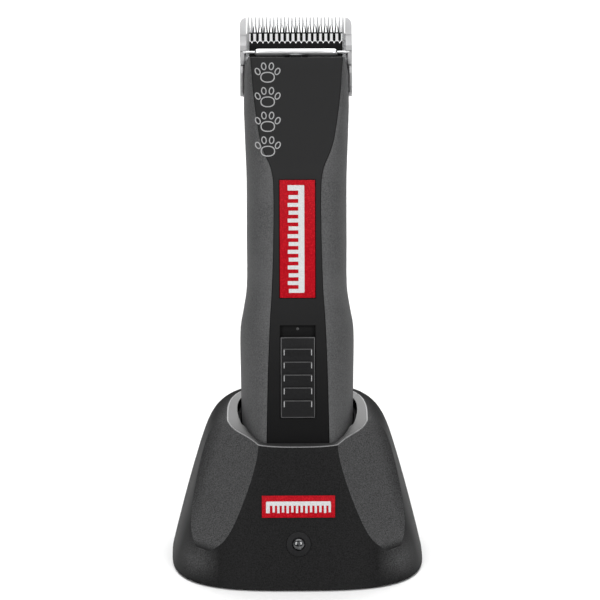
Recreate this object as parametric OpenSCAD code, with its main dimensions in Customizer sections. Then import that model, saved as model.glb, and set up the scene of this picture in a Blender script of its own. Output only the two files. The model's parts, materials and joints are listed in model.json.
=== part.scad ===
// Cordless pet clipper standing in its charging stand. Millimetres.
// +Z is up, +X is to the right and -Y is the side with the switch.
// The origin is on the ground under the middle of the stand.
// The clipper is drawn upright in its own frame and then leaned back into the stand.

/* [Clipper] */
// How far the docked clipper leans back, in degrees
lean = 12; // [10:0.5:13]
// Half width of the handle at its widest
handle_half_w = 24.7; // [24:0.1:25.2]
// Half width of the grip above the handle
grip_half_w = 21.8; // [21.4:0.1:22.4]
// Half width of the head
head_half_w = 22.9; // [22.6:0.1:23]
// Height of the end of the nose above the clipper's foot
nose_z = 196.2; // [195.6:0.1:197]
// Wall thickness of the two housing shells
wall = 2.4; // [2.2:0.1:2.6]
// Thickness of the centre panel that runs up the front
panel_t = 1.4; // [1.2:0.1:1.6]

/* [Switch] */
// Width of the sliding switch button
button_w = 14.9; // [14:0.1:15.2]
// Length of the sliding switch button
button_l = 35; // [33:0.5:35.5]
// Travel of the switch button from off to on
button_travel = 4.8; // [4:0.1:4.9]
// Number of thumb ridges on the button
ridge_count = 5; // [3:1:5]

/* [Blade] */
// Angle between the blade and the clipper's length, in degrees
blade_tilt = 20; // [18:0.5:21]
// Overall width of the comb plate
blade_w = 49; // [48.6:0.1:49.4]
// Thickness of the comb plate
comb_t = 2.6; // [2.2:0.1:2.8]
// Distance from one comb tooth to the next
comb_pitch = 1.6; // [1.5:0.05:1.6]
// Number of comb teeth
comb_teeth = 27; // [21:2:27]
// Distance from one cutter tooth to the next
cutter_pitch = 2.4; // [2.2:0.05:2.4]
// Number of cutter teeth
cutter_teeth = 17; // [13:2:17]

/* [Drive] */
// Outside radius of the motor can
motor_r = 14; // [13.5:0.1:14]
// Height of the lever's pivot above the clipper's foot
pivot_z = 163; // [162:0.5:164]
// Offset of the eccentric from the motor shaft, which sets the cutter's stroke
throw = 0.65; // [0.5:0.05:0.7]
// Radius of the ball bearing on the eccentric
bearing_r = 6; // [5.8:0.1:6]

/* [Stand] */
// Half width of the stand's foot
stand_half_w = 55; // [54:0.5:55.5]
// Half depth of the stand's foot
stand_half_d = 54; // [53.5:0.5:55]
// Squareness of the foot's outline, 2 for an ellipse
stand_square = 3.1; // [2.8:0.1:3.3]
// Height of the front edge of the stand's rim
rim_front_z = 58.5; // [57.5:0.5:59.5]
// Slope of the rim up towards the back, in degrees
rim_slope = 15; // [14:0.5:16]
// Wall thickness of the stand
stand_wall = 2.6; // [2.4:0.1:2.8]
// Height of the rubber feet
foot_h = 1.5; // [1.2:0.1:1.8]

/* [Hidden] */
$fn = 48;
far = 300;

// Where the clipper's foot sits in the stand, and where the blade sits on the clipper
clip_y = -14.8;
clip_z = 26;
blade_y = 8.5;
blade_z = 178.8;
split_y = 3;          // the two housing shells part here
cap_z = 9;            // top of the battery's end cap
widest_y = 4;         // depth at which the body is widest
ledge_z = blade_z - 5.8;      // the head's back stops here to make room for the hinge
seat_gap = 0.3;       // between the nose and the comb plate
recess_zb = 8.5;      // from here forward the nose is cut back for the cutter
recess_d = 3;
hinge_yb = 5.1;       // hinge axis, in the blade's frame
hinge_zb = -1.5;
hinge_r = 2.3;
pin_r = 1.1;

// Rows: height, half width, half width of the centre panel, depth in front, depth behind,
// and the roundness of the front corner, 2 for an ellipse
body_rows = [
    [0,      handle_half_w - 1.2, 14.2, 19.4, 17.4, 1.7],
    [30,     handle_half_w - 0.6, 13.6, 20.0, 18.0, 1.7],
    [57,     handle_half_w - 0.1, 13.0, 20.5, 18.5, 1.7],
    [78,     handle_half_w,       12.2, 20.8, 18.6, 1.75],
    [87,     handle_half_w - 1.5, 11.7, 20.4, 18.1, 1.9],
    [96,     grip_half_w + 0.1,   11.1, 20.0, 17.6, 2],
    [118,    grip_half_w,         10.4, 19.8, 17.4, 2.1],
    [142,    grip_half_w,         10.4, 19.6, 17.4, 2.1],
    [149,    grip_half_w + 0.2,   11.6, 18.8, 17.2, 2],
    [154,    grip_half_w + 0.4,   13.8, 17.2, 16.8, 1.9],
    [159,    grip_half_w + 0.6,   15.6, 15.7, 16.2, 1.8],
    [165,    head_half_w - 0.3,   16.8, 14.4, 15.0, 1.7],
    [174,    head_half_w,         18.1, 12.9, 13.6, 1.65],
    [183,    head_half_w - 0.1,   19.1, 11.3, 14.0, 1.6],
    [190.5,  head_half_w - 0.5,   19.6, 9.6,  16.5, 1.6],
    [nose_z, head_half_w - 1.8,   20.1, 7.2,  19,   1.6]];

function mix(a, b, t) = a + (b - a) * t;
function row_at(z) = max([for (k = [0:len(body_rows) - 2]) if (k == 0 || body_rows[k][0] <= z) k]);
function row_slope(k, c) = let (a = max(k - 1, 0), b = min(k + 1, len(body_rows) - 1))
    (body_rows[b][c] - body_rows[a][c]) / (body_rows[b][0] - body_rows[a][0]);
// A smooth curve through column c of the rows
function body(z, c) =
    let (k = row_at(z), h = body_rows[k + 1][0] - body_rows[k][0],
        t = max(0, min(1, (z - body_rows[k][0]) / h)), t2 = t * t, t3 = t2 * t)
    (2 * t3 - 3 * t2 + 1) * body_rows[k][c] + (t3 - 2 * t2 + t) * h * row_slope(k, c)
    + (3 * t2 - 2 * t3) * body_rows[k + 1][c] + (t3 - t2) * h * row_slope(k + 1, c);

// Right half of the body's outline at height z, grown outwards by g, front to back
function half_section(z, g, steps) =
    let (w = body(z, 1) + g, s = body(z, 2) + g * 0.3, f = body(z, 3) + g, b = body(z, 4) + g, n = body(z, 5))
    concat([for (i = [0:steps]) let (a = 90 * i / steps)
            [s + (w - s) * pow(sin(a), 2 / n), widest_y - (f + widest_y) * pow(cos(a), 2 / n)]],
        [for (i = [1:steps - 1]) let (a = 90 * i / steps)
            [w * pow(cos(a), 2 / 2.7), widest_y + (b - widest_y) * pow(sin(a), 2 / 2.7)]],
        [[0, b]]);
function section(z, g, steps) = let (h = half_section(z, g, steps), n = len(h))
    [for (i = [0:n - 1]) [h[i][0], h[i][1], z], for (i = [n - 2:-1:0]) [-h[i][0], h[i][1], z]];

// Closed solid through rings with the same number of points
module loft(rings) {
    n = len(rings[0]);
    m = len(rings);
    polyhedron(points = [for (r = rings) for (p = r) p],
        faces = concat([[for (i = [0:n - 1]) i]], [[for (i = [n - 1:-1:0]) (m - 1) * n + i]],
            [for (k = [0:m - 2]) for (i = [0:n - 1]) [k * n + (i + 1) % n, k * n + i, (k + 1) * n + i]],
            [for (k = [0:m - 2]) for (i = [0:n - 1])
                [k * n + (i + 1) % n, (k + 1) * n + i, (k + 1) * n + (i + 1) % n]]));
}

module in_clipper() translate([0, clip_y, clip_z]) rotate([-lean, 0, 0]) children();
module on_blade() translate([0, blade_y, blade_z]) rotate([-blade_tilt, 0, 0]) children();
module in_blade() in_clipper() on_blade() children();
module both_sides() {
    children();
    mirror([1, 0, 0]) children();
}
module box(x, y, z) translate([x[0], y[0], z[0]]) cube([x[1] - x[0], y[1] - y[0], z[1] - z[0]]);
module along_y(y0, y1, r) translate([0, y0, 0]) rotate([-90, 0, 0]) cylinder(r = r, h = y1 - y0);
module along_x(x0, x1, r) translate([x0, 0, 0]) rotate([0, 90, 0]) cylinder(r = r, h = x1 - x0);
// Round post with a blind hole up from its foot
module post(r_out, r_in, h, hole_h) difference() {
    cylinder(r = r_out, h = h);
    translate([0, 0, -1]) cylinder(r = r_in, h = hole_h + 1);
}
module tube(r_out, r_in, h) post(r_out, r_in, h, h + 1);

// ---------------------------------------------------------------- clipper housing

body_steps = 7;
heights = [cap_z, 20, 32, 45, 57, 68, 78, 82.5, 87, 91.5, 96, 107, 118, 130, 142, 149, 154, 159,
    165, 174, 183, 190.5, nose_z];

// The housing's outer form grown by g, without the space that the blade and its hinge take
module body_form(g, z0, z1) {
    zs = concat([z0], [for (z = heights) if (z > z0 + 0.5 && z < z1 - 0.5) z], [z1]);
    difference() {
        loft([for (z = zs) section(z, g, body_steps)]);
        intersection() {
            box([-far, far], [-far, far], [ledge_z + g, far]);
            on_blade() box([-far, far], [g - seat_gap, far], [-far, far]);
        }
        on_blade() box([-far, far], [g - recess_d, far], [recess_zb + g, far]);
    }
}

// The strip of the front that the centre panel covers, dug in by depth d and cleared by c at its sides
module panel_form(d, c, z0) {
    zs = concat([z0], [for (z = heights) if (z > z0 + 0.5) z]);
    loft([for (z = zs) let (s = body(z, 2) + c, f = body(z, 3))
        [[-s, -f - (c > 0 ? 1 : 0), z], [s, -f - (c > 0 ? 1 : 0), z], [s, -f + d, z], [-s, -f + d, z]]]);
}

lower_boss = [14, 88];
upper_boss = [15.5, 152];
bosses = [lower_boss, upper_boss];
boss_r = 3;
button_z = 40.6;              // lower end of the button when off
well_floor_y = -18.2;         // floor of the well that the button slides in
pad_back_y = -16.2;           // back of the pad behind the well

module shell_blank() difference() {
    body_form(0, cap_z + 0.15, nose_z);
    body_form(-wall, cap_z - 3, nose_z - wall);
}
module button_well(y1) box([-button_w / 2 - 0.3, button_w / 2 + 0.3], [-30, y1],
    [button_z - 0.3, button_z + button_l + button_travel + 0.3]);
module front_half() box([-far, far], [-far, split_y], [-far, far]);
module back_half() box([-far, far], [split_y, far], [-far, far]);
// Passage in the nose for the lever
module lever_way() on_blade() box([-5.7, 5.7], [-5.4, 0.2], [5, 30]);
module nose_mouth() box([-5, 5], [-3, 20], [nose_z - 4, nose_z + 5]);

module front_shell() in_clipper() color([0.2, 0.2, 0.21]) difference() {
    union() {
        intersection() { shell_blank(); front_half(); }
        intersection() {
            body_form(-wall + 0.4, cap_z + 0.15, nose_z - wall);
            union() {
                for (p = bosses) both_sides() translate([p[0], 0, p[1]]) along_y(-30, split_y, boss_r);
                box([-10.5, 10.5], [-30, pad_back_y], [37, 84]);
            }
        }
    }
    panel_form(panel_t, 0.02, cap_z - 1);
    button_well(well_floor_y);
    box([-2.3, 2.3], [-30, 0], [53, 64]);
    for (p = bosses) both_sides() translate([p[0], 0, p[1]]) along_y(-8, split_y + 1, 1.25);
    lever_way();
    nose_mouth();
}

module rear_shell() in_clipper() color([0.18, 0.18, 0.19]) difference() {
    union() {
        intersection() { shell_blank(); back_half(); }
        intersection() {
            body_form(-0.4, cap_z + 0.15, nose_z - wall);
            back_half();
            union() {
                for (p = bosses) both_sides() translate([p[0], 0, p[1]]) along_y(split_y, 30, boss_r + 0.8);
                box([-13, 13], [9.2, 30], [154.5, ledge_z]);
                box([-9, 9], [11.6, 30], [140.8, 155]);
            }
        }
    }
    for (p = bosses) both_sides() translate([p[0], 0, p[1]]) {
        along_y(0, 30, 1.5);
        along_y(10, 30, 2.9);
    }
    box([-11.3, 11.3], [hinge_plate_y, 30], [hinge_plate_z - 0.3, ledge_z + 1]);
    box([-7.1, 7.1], [14.2, 30], [button_low_z - release_travel - 0.3, hinge_plate_z]);
    box([-2.8, 2.8], [hinge_plate_y + hinge_plate_t, 30], [strip_z - release_travel - 0.2, ledge_z]);
    for (z = hinge_screw_z) both_sides() translate([7.5, 0, z]) along_y(5, 30, 1.25);
    lever_way();
    nose_mouth();
}

module front_panel() in_clipper() color([0.12, 0.12, 0.125]) difference() {
    panel_form(panel_t, 0, cap_z + 0.15);
    button_well(0);
    box([-8, 8], [-30, -badge_seat_y], [badge_z[0] - 0.3, badge_z[1] + 0.3]);
}

// Raised plate on the grip, flat, with room for a badge
badge_seat_y = 19;
badge_z = [92.5, 143.4];
module grip_badge() in_clipper() color([0.75, 0.05, 0.09])
    box([-7.7, 7.7], [-badge_seat_y - 1, -badge_seat_y], badge_z);

// ---------------------------------------------------------------- switch

ridge_pitch = 5.6;
ridge_w = 12.7;
ridge_l = 3;
ridge_h = 0.7;
button_face_y = -21.4;

module ridge() rotate([90, 0, 90]) linear_extrude(ridge_w, center = true)
    polygon([[0, 0], [0, ridge_l], [-ridge_h, ridge_l], [-ridge_h * 0.5, ridge_l * 0.5]]);

module switch_button() in_clipper() color([0.13, 0.13, 0.135]) {
    box([-button_w / 2, button_w / 2], [button_face_y, well_floor_y - 0.1], [button_z, button_z + button_l]);
    for (i = [0:ridge_count - 1])
        translate([0, button_face_y + 0.02, button_z + 4.4 + i * ridge_pitch]) ridge();
    box([-2, 2], [well_floor_y - 0.2, pad_back_y + 0.1], [54, 58]);
}

module switch_nub() in_clipper() color([0.85, 0.85, 0.82])
    box([-1.2, 1.2], [pad_back_y + 0.1, -14.4], [55, 57]);

module switch_body() in_clipper() color([0.7, 0.7, 0.72]) difference() {
    box([-4, 4], [-15.9, -13.4], [50, 67]);
    box([-1.5, 1.5], [-17, -14.2], [54.5, 62.5]);
}

module circuit_board() in_clipper() color([0.05, 0.35, 0.15]) difference() {
    box([-10.5, 10.5], [-13.4, -11.8], [34, 96.5]);
    for (x = [-8, 8]) for (z = [37, 95]) translate([x, 0, z]) along_y(-15, -10, 1.1);
}

module board_components() in_clipper() color([0.1, 0.1, 0.1]) {
    box([-7, 0], [-11.8, -9.8], [80, 87]);
    for (i = [0:2]) box([2, 5], [-11.8, -10.6], [78 + i * 4.5, 80 + i * 4.5]);
    box([-6, 6], [-11.8, -7.4], [90, 96]);
    for (x = [-5, 5]) translate([x, 0, 44]) along_y(-11.8, -9, 2.2);
}

module screw(head_r, head_h, shank_r, shank_l) {
    difference() {
        cylinder(r = head_r, h = head_h);
        translate([0, 0, head_h * 0.4]) for (a = [0, 90]) rotate(a)
            translate([-head_r * 0.6, -0.3, 0]) cube([head_r * 1.2, 0.6, head_h]);
    }
    translate([0, 0, -shank_l]) cylinder(r = shank_r, h = shank_l);
}

module housing_screws() in_clipper() color([0.6, 0.6, 0.62])
    for (p = bosses) both_sides() translate([p[0], 10, p[1]]) rotate([-90, 0, 0]) screw(2.7, 1.8, 1.2, 17.8);

// ---------------------------------------------------------------- battery

cell_r = 9.1;
cell_x = 9.25;
cell_y = 3.5;
case_top_z = 76.6;

module cell_pair(r, z0, z1) {
    both_sides() translate([cell_x, cell_y, z0]) cylinder(r = r, h = z1 - z0);
    box([-cell_x, cell_x], [cell_y - r, cell_y + r], [z0, z1]);
}
module battery_case() in_clipper() color([0.25, 0.26, 0.3]) difference() {
    cell_pair(10, cap_z, case_top_z);
    cell_pair(9.25, cap_z - 1, case_top_z - 0.8);
    for (x = [-6, 6]) box([x - 1.6, x + 1.6], [cell_y - 0.5, cell_y + 0.5], [case_top_z - 2, case_top_z + 1]);
}
module battery_cells() in_clipper() color([0.15, 0.45, 0.75])
    both_sides() translate([cell_x, cell_y, cap_z + 1]) {
        cylinder(r = cell_r, h = 64);
        translate([0, 0, 64]) cylinder(r = 3, h = 1.2);
    }
module battery_terminals() in_clipper() color([0.85, 0.65, 0.3])
    for (x = [-6, 6]) box([x - 1.6, x + 1.6], [cell_y - 0.5, cell_y + 0.5], [case_top_z - 0.8, case_top_z + 6]);

pad_x = 8;
pad_r = 3.2;
module battery_cap() in_clipper() color([0.15, 0.15, 0.16]) difference() {
    loft([for (r = [[0, -1.6], [0.6, -0.7], [2.2, 0], [cap_z, 0]]) section(r[0], r[1], body_steps)]);
    difference() {
        loft([section(3, -wall, body_steps), section(cap_z + 1, -wall, body_steps)]);
        both_sides() translate([pad_x, 0, 0]) cylinder(r = 4.6, h = 6);
    }
    both_sides() translate([pad_x, 0, -1]) cylinder(r = pad_r, h = 1.8);
    both_sides() translate([pad_x, 0, -1]) cylinder(r = 1, h = 8);
}
module charge_pads() in_clipper() color([0.85, 0.7, 0.35]) both_sides() translate([pad_x, 0, 0]) {
    cylinder(r = pad_r, h = 0.8);
    translate([0, 0, 0.8]) cylinder(r = 1, h = 6.4);
}

// ---------------------------------------------------------------- motor and drive

motor_y = 0.5;
motor_z0 = 100;
motor_z1 = 138;
shaft_r = 1.5;
eccentric_z = 143;
eccentric_h = 6;
lever_y0 = -1;
lever_y1 = 2;

module on_motor(z) in_clipper() translate([0, motor_y, z]) children();

module motor_can() on_motor(motor_z0) color([0.7, 0.71, 0.73]) difference() {
    cylinder(r = motor_r, h = motor_z1 - motor_z0);
    translate([0, 0, -1]) cylinder(r = motor_r - 1.2, h = motor_z1 - motor_z0 - 0.2);
    cylinder(r = 3.2, h = 60);
    both_sides() translate([9, 0, 0]) cylinder(r = 1.2, h = 60);
}
module motor_end_bell() on_motor(motor_z0 - 2.5) color([0.12, 0.12, 0.12]) difference() {
    cylinder(r = motor_r, h = 2.5);
    translate([0, 0, -1]) cylinder(r = shaft_r + 0.06, h = 10);
}
module motor_magnets() on_motor(104) color([0.3, 0.3, 0.32]) difference() {
    tube(motor_r - 1.2, 10.4, 28);
    box([-3.5, 3.5], [-20, 20], [-1, 30]);
}
module motor_armature() on_motor(105) color([0.72, 0.4, 0.2]) difference() {
    tube(9.8, shaft_r, 26);
    for (a = [90, 210, 330]) rotate(a) box([5.5, 11], [-1.2, 1.2], [-1, 27]);
}
module motor_shaft() on_motor(motor_z0 - 2) color([0.8, 0.8, 0.82])
    cylinder(r = shaft_r, h = eccentric_z + eccentric_h + 2 - motor_z0);
module commutator() on_motor(101) color([0.8, 0.5, 0.25]) tube(4, shaft_r, 3.6);
module motor_brushes() on_motor(100.8) color([0.3, 0.28, 0.26])
    both_sides() box([4.1, 7.5], [-1.5, 1.5], [0.4, 3.4]);
module motor_bushing() on_motor(motor_z1 - 1.2) color([0.75, 0.6, 0.3]) tube(3.2, shaft_r + 0.06, 3.4);
module motor_screws() on_motor(motor_z1 + 2.5) color([0.6, 0.6, 0.62])
    both_sides() translate([9, 0, 0]) screw(2.2, 1.4, 1.2, 4.4);

// Front plate on the motor with two legs that carry the lever's pivot
module drive_frame() in_clipper() color([0.55, 0.56, 0.58]) difference() {
    union() {
        translate([0, motor_y, motor_z1]) cylinder(r = motor_r, h = 2.5);
        box([-18.6, 18.6], [-4, 5], [motor_z1, motor_z1 + 2.5]);
        box([-6, 6], [-8.2, -6.8], [motor_z1, pivot_z + 6]);
        box([-6, 6], [7.6, 9], [motor_z1, pivot_z + 6]);
    }
    translate([0, motor_y, motor_z1 - 1]) cylinder(r = 3.2, h = 5);
    both_sides() translate([9, motor_y, motor_z1 - 1]) cylinder(r = 1.2, h = 5);
    translate([0, 0, pivot_z]) along_y(-12, 12, 2);
}
module pivot_pin() in_clipper() color([0.8, 0.8, 0.82]) translate([0, 0, pivot_z]) along_y(-8.2, 9, 2);
module pivot_spacers() in_clipper() color([0.9, 0.88, 0.8]) translate([0, 0, pivot_z]) {
    difference() {
        along_y(-6.8, lever_y0 - 0.06, 4);
        along_y(-9, 0, 2.05);
    }
    difference() {
        along_y(lever_y1 + 0.06, 7.6, 4);
        along_y(0, 9, 2.05);
    }
}
module eccentric() on_motor(eccentric_z) color([0.8, 0.65, 0.35]) difference() {
    translate([throw, 0, 0]) cylinder(r = 4, h = eccentric_h);
    translate([0, 0, -1]) cylinder(r = shaft_r, h = eccentric_h + 2);
}
module eccentric_bearing() on_motor(eccentric_z + 0.5) color([0.75, 0.76, 0.78])
    translate([throw, 0, 0]) tube(bearing_r, 4, eccentric_h - 1);

fork_half = bearing_r + 2 * throw + 0.15;
module drive_lever() in_clipper() color([0.62, 0.63, 0.65]) difference() {
    union() {
        both_sides() box([fork_half, fork_half + 2.3], [lever_y0, lever_y1], [143.5, 154.5]);
        box([-fork_half, fork_half], [lever_y0, lever_y1], [151, 154.5]);
        box([-3, 3], [lever_y0, lever_y1], [154.5, 188.8]);
        translate([0, 0, pivot_z]) along_y(lever_y0, lever_y1, 4.4);
        box([-2.5, 2.5], [lever_y0, 9], [185, 188.8]);
    }
    translate([0, 0, pivot_z]) along_y(-5, 5, 2.06);
    on_blade() box([-5, 5], [-2.2, 5], [-20, 30]);
}
// Finger that reaches into the cutter's notch
module lever_tip() in_blade() color([0.9, 0.9, 0.86]) box([-2.5, 2.5], [-2.2, -0.45], [8.5, 18.6]);

// ---------------------------------------------------------------- blade

comb_root_zb = 29.3;
comb_tip_zb = 37.2;
cutter_rear_zb = 15;
cutter_root_zb = 25.2;
cutter_tip_zb = 33.2;
cutter_t = 2.4;
cutter_half_w = 20.4;
cheek_in = 21.8;
wing_in = head_half_w + 0.15;
bar_yb = -4.2;
bar_zb = 19.3;

// A pointed tooth, w wide at its root, in the plane of the blade
module tooth(w, l, y0, y1) translate([0, y1, 0]) rotate([90, 0, 0]) linear_extrude(y1 - y0)
    polygon([[-w / 2, -0.5], [w / 2, -0.5], [w / 2, 0], [w * 0.16, l - 0.4], [0, l],
        [-w * 0.16, l - 0.4], [-w / 2, 0]]);
// A side profile given as [along, depth] points, spread from x0 to x1
module side_profile(points, x0, x1) translate([x0, 0, 0]) rotate([90, 0, 90]) linear_extrude(x1 - x0)
    polygon([for (p = points) [p[1], p[0]]]);

module comb_blade() in_blade() color([0.78, 0.79, 0.8]) difference() {
    union() {
        side_profile([[0, 0], [comb_root_zb, 0], [comb_root_zb, 1.3], [24, comb_t], [0, comb_t]], -cheek_in, cheek_in);
        for (i = [0:comb_teeth - 1])
            translate([(i - (comb_teeth - 1) / 2) * comb_pitch, 0, comb_root_zb])
                tooth(1.1, comb_tip_zb - comb_root_zb, 0.05, 1.25);
        both_sides() {
            side_profile([[19.6, comb_t], [19.6, -4.9], [22, -5], [24.5, -3.6], [31, -2.2], [35.6, -0.4],
                [comb_tip_zb, 0.5], [36.4, 1.3], [30, comb_t]], cheek_in, blade_w / 2);
            side_profile([[13.1, comb_t], [13.1, -4.6], [19.6, -4.9], [19.6, comb_t]],
                cheek_in + 0.8, blade_w / 2);
            side_profile([[1, comb_t], [1, -3.5], [3, -5.6], [9, -6], [13.1, -4.2], [13.1, comb_t]],
                wing_in, blade_w / 2);
            box([cheek_in, wing_in], [0, comb_t], [1, 19.6]);
        }
    }
    for (x = [-10, 10]) translate([x, 0, 12.4]) along_y(-1, 5, 1.25);
    for (x = [-3.6, 3.6]) translate([x, 0, 8]) along_y(-1, 5, 1);
    both_sides() translate([cheek_in - 1, bar_yb, bar_zb]) along_x(0, 2.7, 0.6);
}

module cutter_blade() in_blade() color([0.3, 0.31, 0.33]) difference() {
    union() {
        side_profile([[cutter_rear_zb, -cutter_t], [22.5, -cutter_t], [cutter_root_zb, -1.7],
            [cutter_root_zb, -0.05], [cutter_rear_zb, -0.05]], -cutter_half_w, cutter_half_w);
        for (i = [0:cutter_teeth - 1])
            translate([(i - (cutter_teeth - 1) / 2) * cutter_pitch, 0, cutter_root_zb])
                tooth(1.3, cutter_tip_zb - cutter_root_zb, -1.65, -0.05);
    }
    box([-2.65, 2.65], [-5, 1], [cutter_rear_zb - 1, 19.2]);
}

module tension_bar() in_blade() color([0.9, 0.9, 0.91]) translate([0, bar_yb, bar_zb]) {
    along_x(-cheek_in - 1.6, cheek_in + 1.6, 0.6);
    along_x(-17.6, 17.6, 1.3);
    both_sides() box([12, 15], [0.6, -bar_yb - cutter_t - 0.1], [-0.5, 0.5]);
}
module cutter_guides() in_blade() color([0.25, 0.25, 0.26]) both_sides() difference() {
    box([5, 16], [-2.2, 0], [9.6, cutter_rear_zb - 0.15]);
    translate([10, 0, 12.4]) along_y(-5, 1, 1.2);
}
module blade_screws() in_blade() color([0.6, 0.61, 0.63]) {
    for (x = [-10, 10]) translate([x, -2.2, 12.4]) along_y(0, comb_t + 3.4, 1.2);
    for (x = [-10, 10]) translate([x, comb_t, 12.4]) along_y(0, 1.2, 2.3);
}
module blade_socket() in_blade() color([0.7, 0.71, 0.72]) {
    difference() {
        union() {
            box([-5.6, 5.6], [comb_t, 4.2], [0.9, 13]);
            box([-5.6, 5.6], [comb_t + 0.3, hinge_yb], [hinge_zb, 2.6]);
            translate([0, hinge_yb, hinge_zb]) along_x(-5.6, 5.6, hinge_r);
        }
        translate([0, hinge_yb, hinge_zb]) along_x(-8, 8, pin_r + 0.05);
        for (x = [-3.6, 3.6]) translate([x, 0, 8]) along_y(2, 6, 1);
    }
    for (x = [-3.6, 3.6]) translate([x, 0, 8]) along_y(0.3, 4.7, 1);
}

// ---------------------------------------------------------------- hinge and release

hinge_screw_z = [blade_z - 18.5, blade_z - 10.5];
hinge_plate_z = blade_z - 21.7;
hinge_plate_y = 12;
button_low_z = 144.4;     // lower end of the release button when latched
release_travel = 2.5;
strip_z = 149.8;          // lower end of the latch strip
hinge_plate_t = 1.6;

// The hinge axis in the clipper's frame
hinge_y = blade_y + hinge_yb * cos(blade_tilt) + hinge_zb * sin(blade_tilt);
hinge_z = blade_z - hinge_yb * sin(blade_tilt) + hinge_zb * cos(blade_tilt);

module hinge_base() in_clipper() color([0.7, 0.71, 0.72]) difference() {
    union() {
        box([-11, 11], [hinge_plate_y, hinge_plate_y + hinge_plate_t], [hinge_plate_z, ledge_z]);
        both_sides() {
            translate([0, hinge_y, hinge_z]) along_x(5.8, 10.4, hinge_r);
            box([5.8, 10.4], [hinge_plate_y, hinge_plate_y + hinge_plate_t], [ledge_z - 1, hinge_z]);
        }
    }
    translate([0, hinge_y, hinge_z]) along_x(-20, 20, pin_r);
    for (z = hinge_screw_z) both_sides() translate([7.5, 0, z]) along_y(5, 30, 1.25);
}
module hinge_pin() in_clipper() color([0.8, 0.8, 0.82]) translate([0, hinge_y, hinge_z]) along_x(-10.4, 10.4, pin_r);
module hinge_screws() in_clipper() color([0.6, 0.6, 0.62])
    for (z = hinge_screw_z) both_sides() translate([7.5, hinge_plate_y + hinge_plate_t, z])
        rotate([-90, 0, 0]) screw(2.1, 1.1, 1.2, 4.2);

module release_button() in_clipper() color([0.13, 0.13, 0.135]) {
    box([-6.8, 6.8], [14.5, 18.4], [button_low_z, button_low_z + 12]);
    for (i = [0:3]) box([-5.6, 5.6], [18.3, 19.2], [button_low_z + 1.8 + i * 2.5, button_low_z + 2.9 + i * 2.5]);
}
module latch_strip() in_clipper() color([0.75, 0.76, 0.78])
    box([-2.6, 2.6], [hinge_plate_y + hinge_plate_t + 0.1, 14.5], [strip_z, hinge_z - hinge_r - 0.25]);
module latch_leaf() in_clipper() color([0.75, 0.76, 0.78])
    box([-5, 5], [14.2, 14.4], [142, 146.6]);

// ---------------------------------------------------------------- stand

rim_half_w = 30.5;       // the rim's outline before its front corners are cut
rim_front_y = -32;
rim_back_y = 18.5;
rim_square = 2.9;
foot_z = 0.8;            // the shell hangs this far above the ground
facet_start = 0.24;      // share of the height at which the side facets begin
stand_points = 64;

function se(v, n) = sign(v) * pow(abs(v), 2 / n);
function rim_z(y) = rim_front_z + (y - rim_front_y) * tan(rim_slope);
// How far in the wall has come at share h of its height; the sides round over at the top
function inward(h, side) = mix(h, 0.64 * h + 0.1 * h * h + 0.26 * pow(h, 16), side);
// Half width of the front panel between the facets
function crease_x(h) = let (s = max(0, (1 - h) / (1 - facet_start)))
    17.2 + 24.4 * (0.7 * pow(s, 1.25) + 0.3 * pow(s, 12));
function stand_point(a, h, g) =
    let (c = cos(a), s = sin(a), side = 1 - pow(max(0, -s), 3),
        t = inward(h, side),
        foot = [(stand_half_w + g) * se(c, stand_square), (stand_half_d + g) * se(s, stand_square)],
        rim_mid = (rim_front_y + rim_back_y) / 2, rim_d = (rim_back_y - rim_front_y) / 2,
        rim = [(rim_half_w + g) * se(c, rim_square), rim_mid + (rim_d + g) * se(s, rim_square)],
        p = mix(foot, rim, t))
    h <= facet_start || s > 0.3 ? p
    : let (aw = mix(stand_half_w, rim_half_w, inward(h, 1)) + g, bw = mix(stand_half_d, rim_d, h) + g,
        mid = [0, mix(0, rim_mid, h)], n = mix(stand_square, rim_square, h), x = crease_x(h),
        f = [x, mid[1] - bw * pow(max(0, 1 - pow(min(1, x / aw), n)), 1 / n)],
        turn = mix(45, 62, (h - facet_start) / (1 - facet_start)), nx = sin(turn), ny = -cos(turn),
        d = nx * f[0] + ny * (f[1] - mid[1]) + g * 0.3, q = [abs(p[0]), p[1] - mid[1]],
        reach = nx * q[0] + ny * q[1])
    reach > d ? mid + (p - mid) * d / reach : p;
// A ring of the stand's wall; its height follows the sloped rim
function stand_ring(h, g, top) = [for (i = [0:stand_points - 1])
    let (p = stand_point(-90 + 360 * i / stand_points, h, g))
    [p[0], p[1], mix(foot_z, rim_z(p[1]) - top, h)]];
stand_shares = [0, 0.12, 0.24, 0.34, 0.45, 0.56, 0.67, 0.78, 0.87, 0.94, 0.98, 1];

module stand_form(g, top, lower) difference() {
    loft([for (h = stand_shares)
        [for (p = stand_ring(h, g, top)) [p[0], p[1], h == 0 ? p[2] - lower : p[2]]]]);
    translate([0, 0, rim_z(0) - top]) rotate([rim_slope, 0, 0]) box([-far, far], [-far, far], [0, far]);
}
module cup_form(g, z0) in_clipper() loft([for (z = [z0, 12, 30, 45, 62]) section(z, g, body_steps)]);
module under_rim() translate([0, 0, rim_z(0)]) rotate([rim_slope, 0, 0])
    box([-far, far], [-far, far], [-far, 0]);

cup_gap = 0.6;
cup_wall = 1.6;
floor_t = 3.4;
indicator_z = 19.2;
front_slope = atan((stand_half_d + rim_front_y) / rim_front_z);
socket_z = 12;
socket_back_y = 48.2;
base_t = 2.2;
base_inset = stand_wall + 2.4;
base_top = foot_h + base_t;
base_boss = [[26, -36], [26, 36]];

// Square to the front panel of the stand at height z
module on_front(z) translate([0, -stand_half_d + z * tan(front_slope), z]) rotate([-front_slope, 0, 0]) children();

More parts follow.
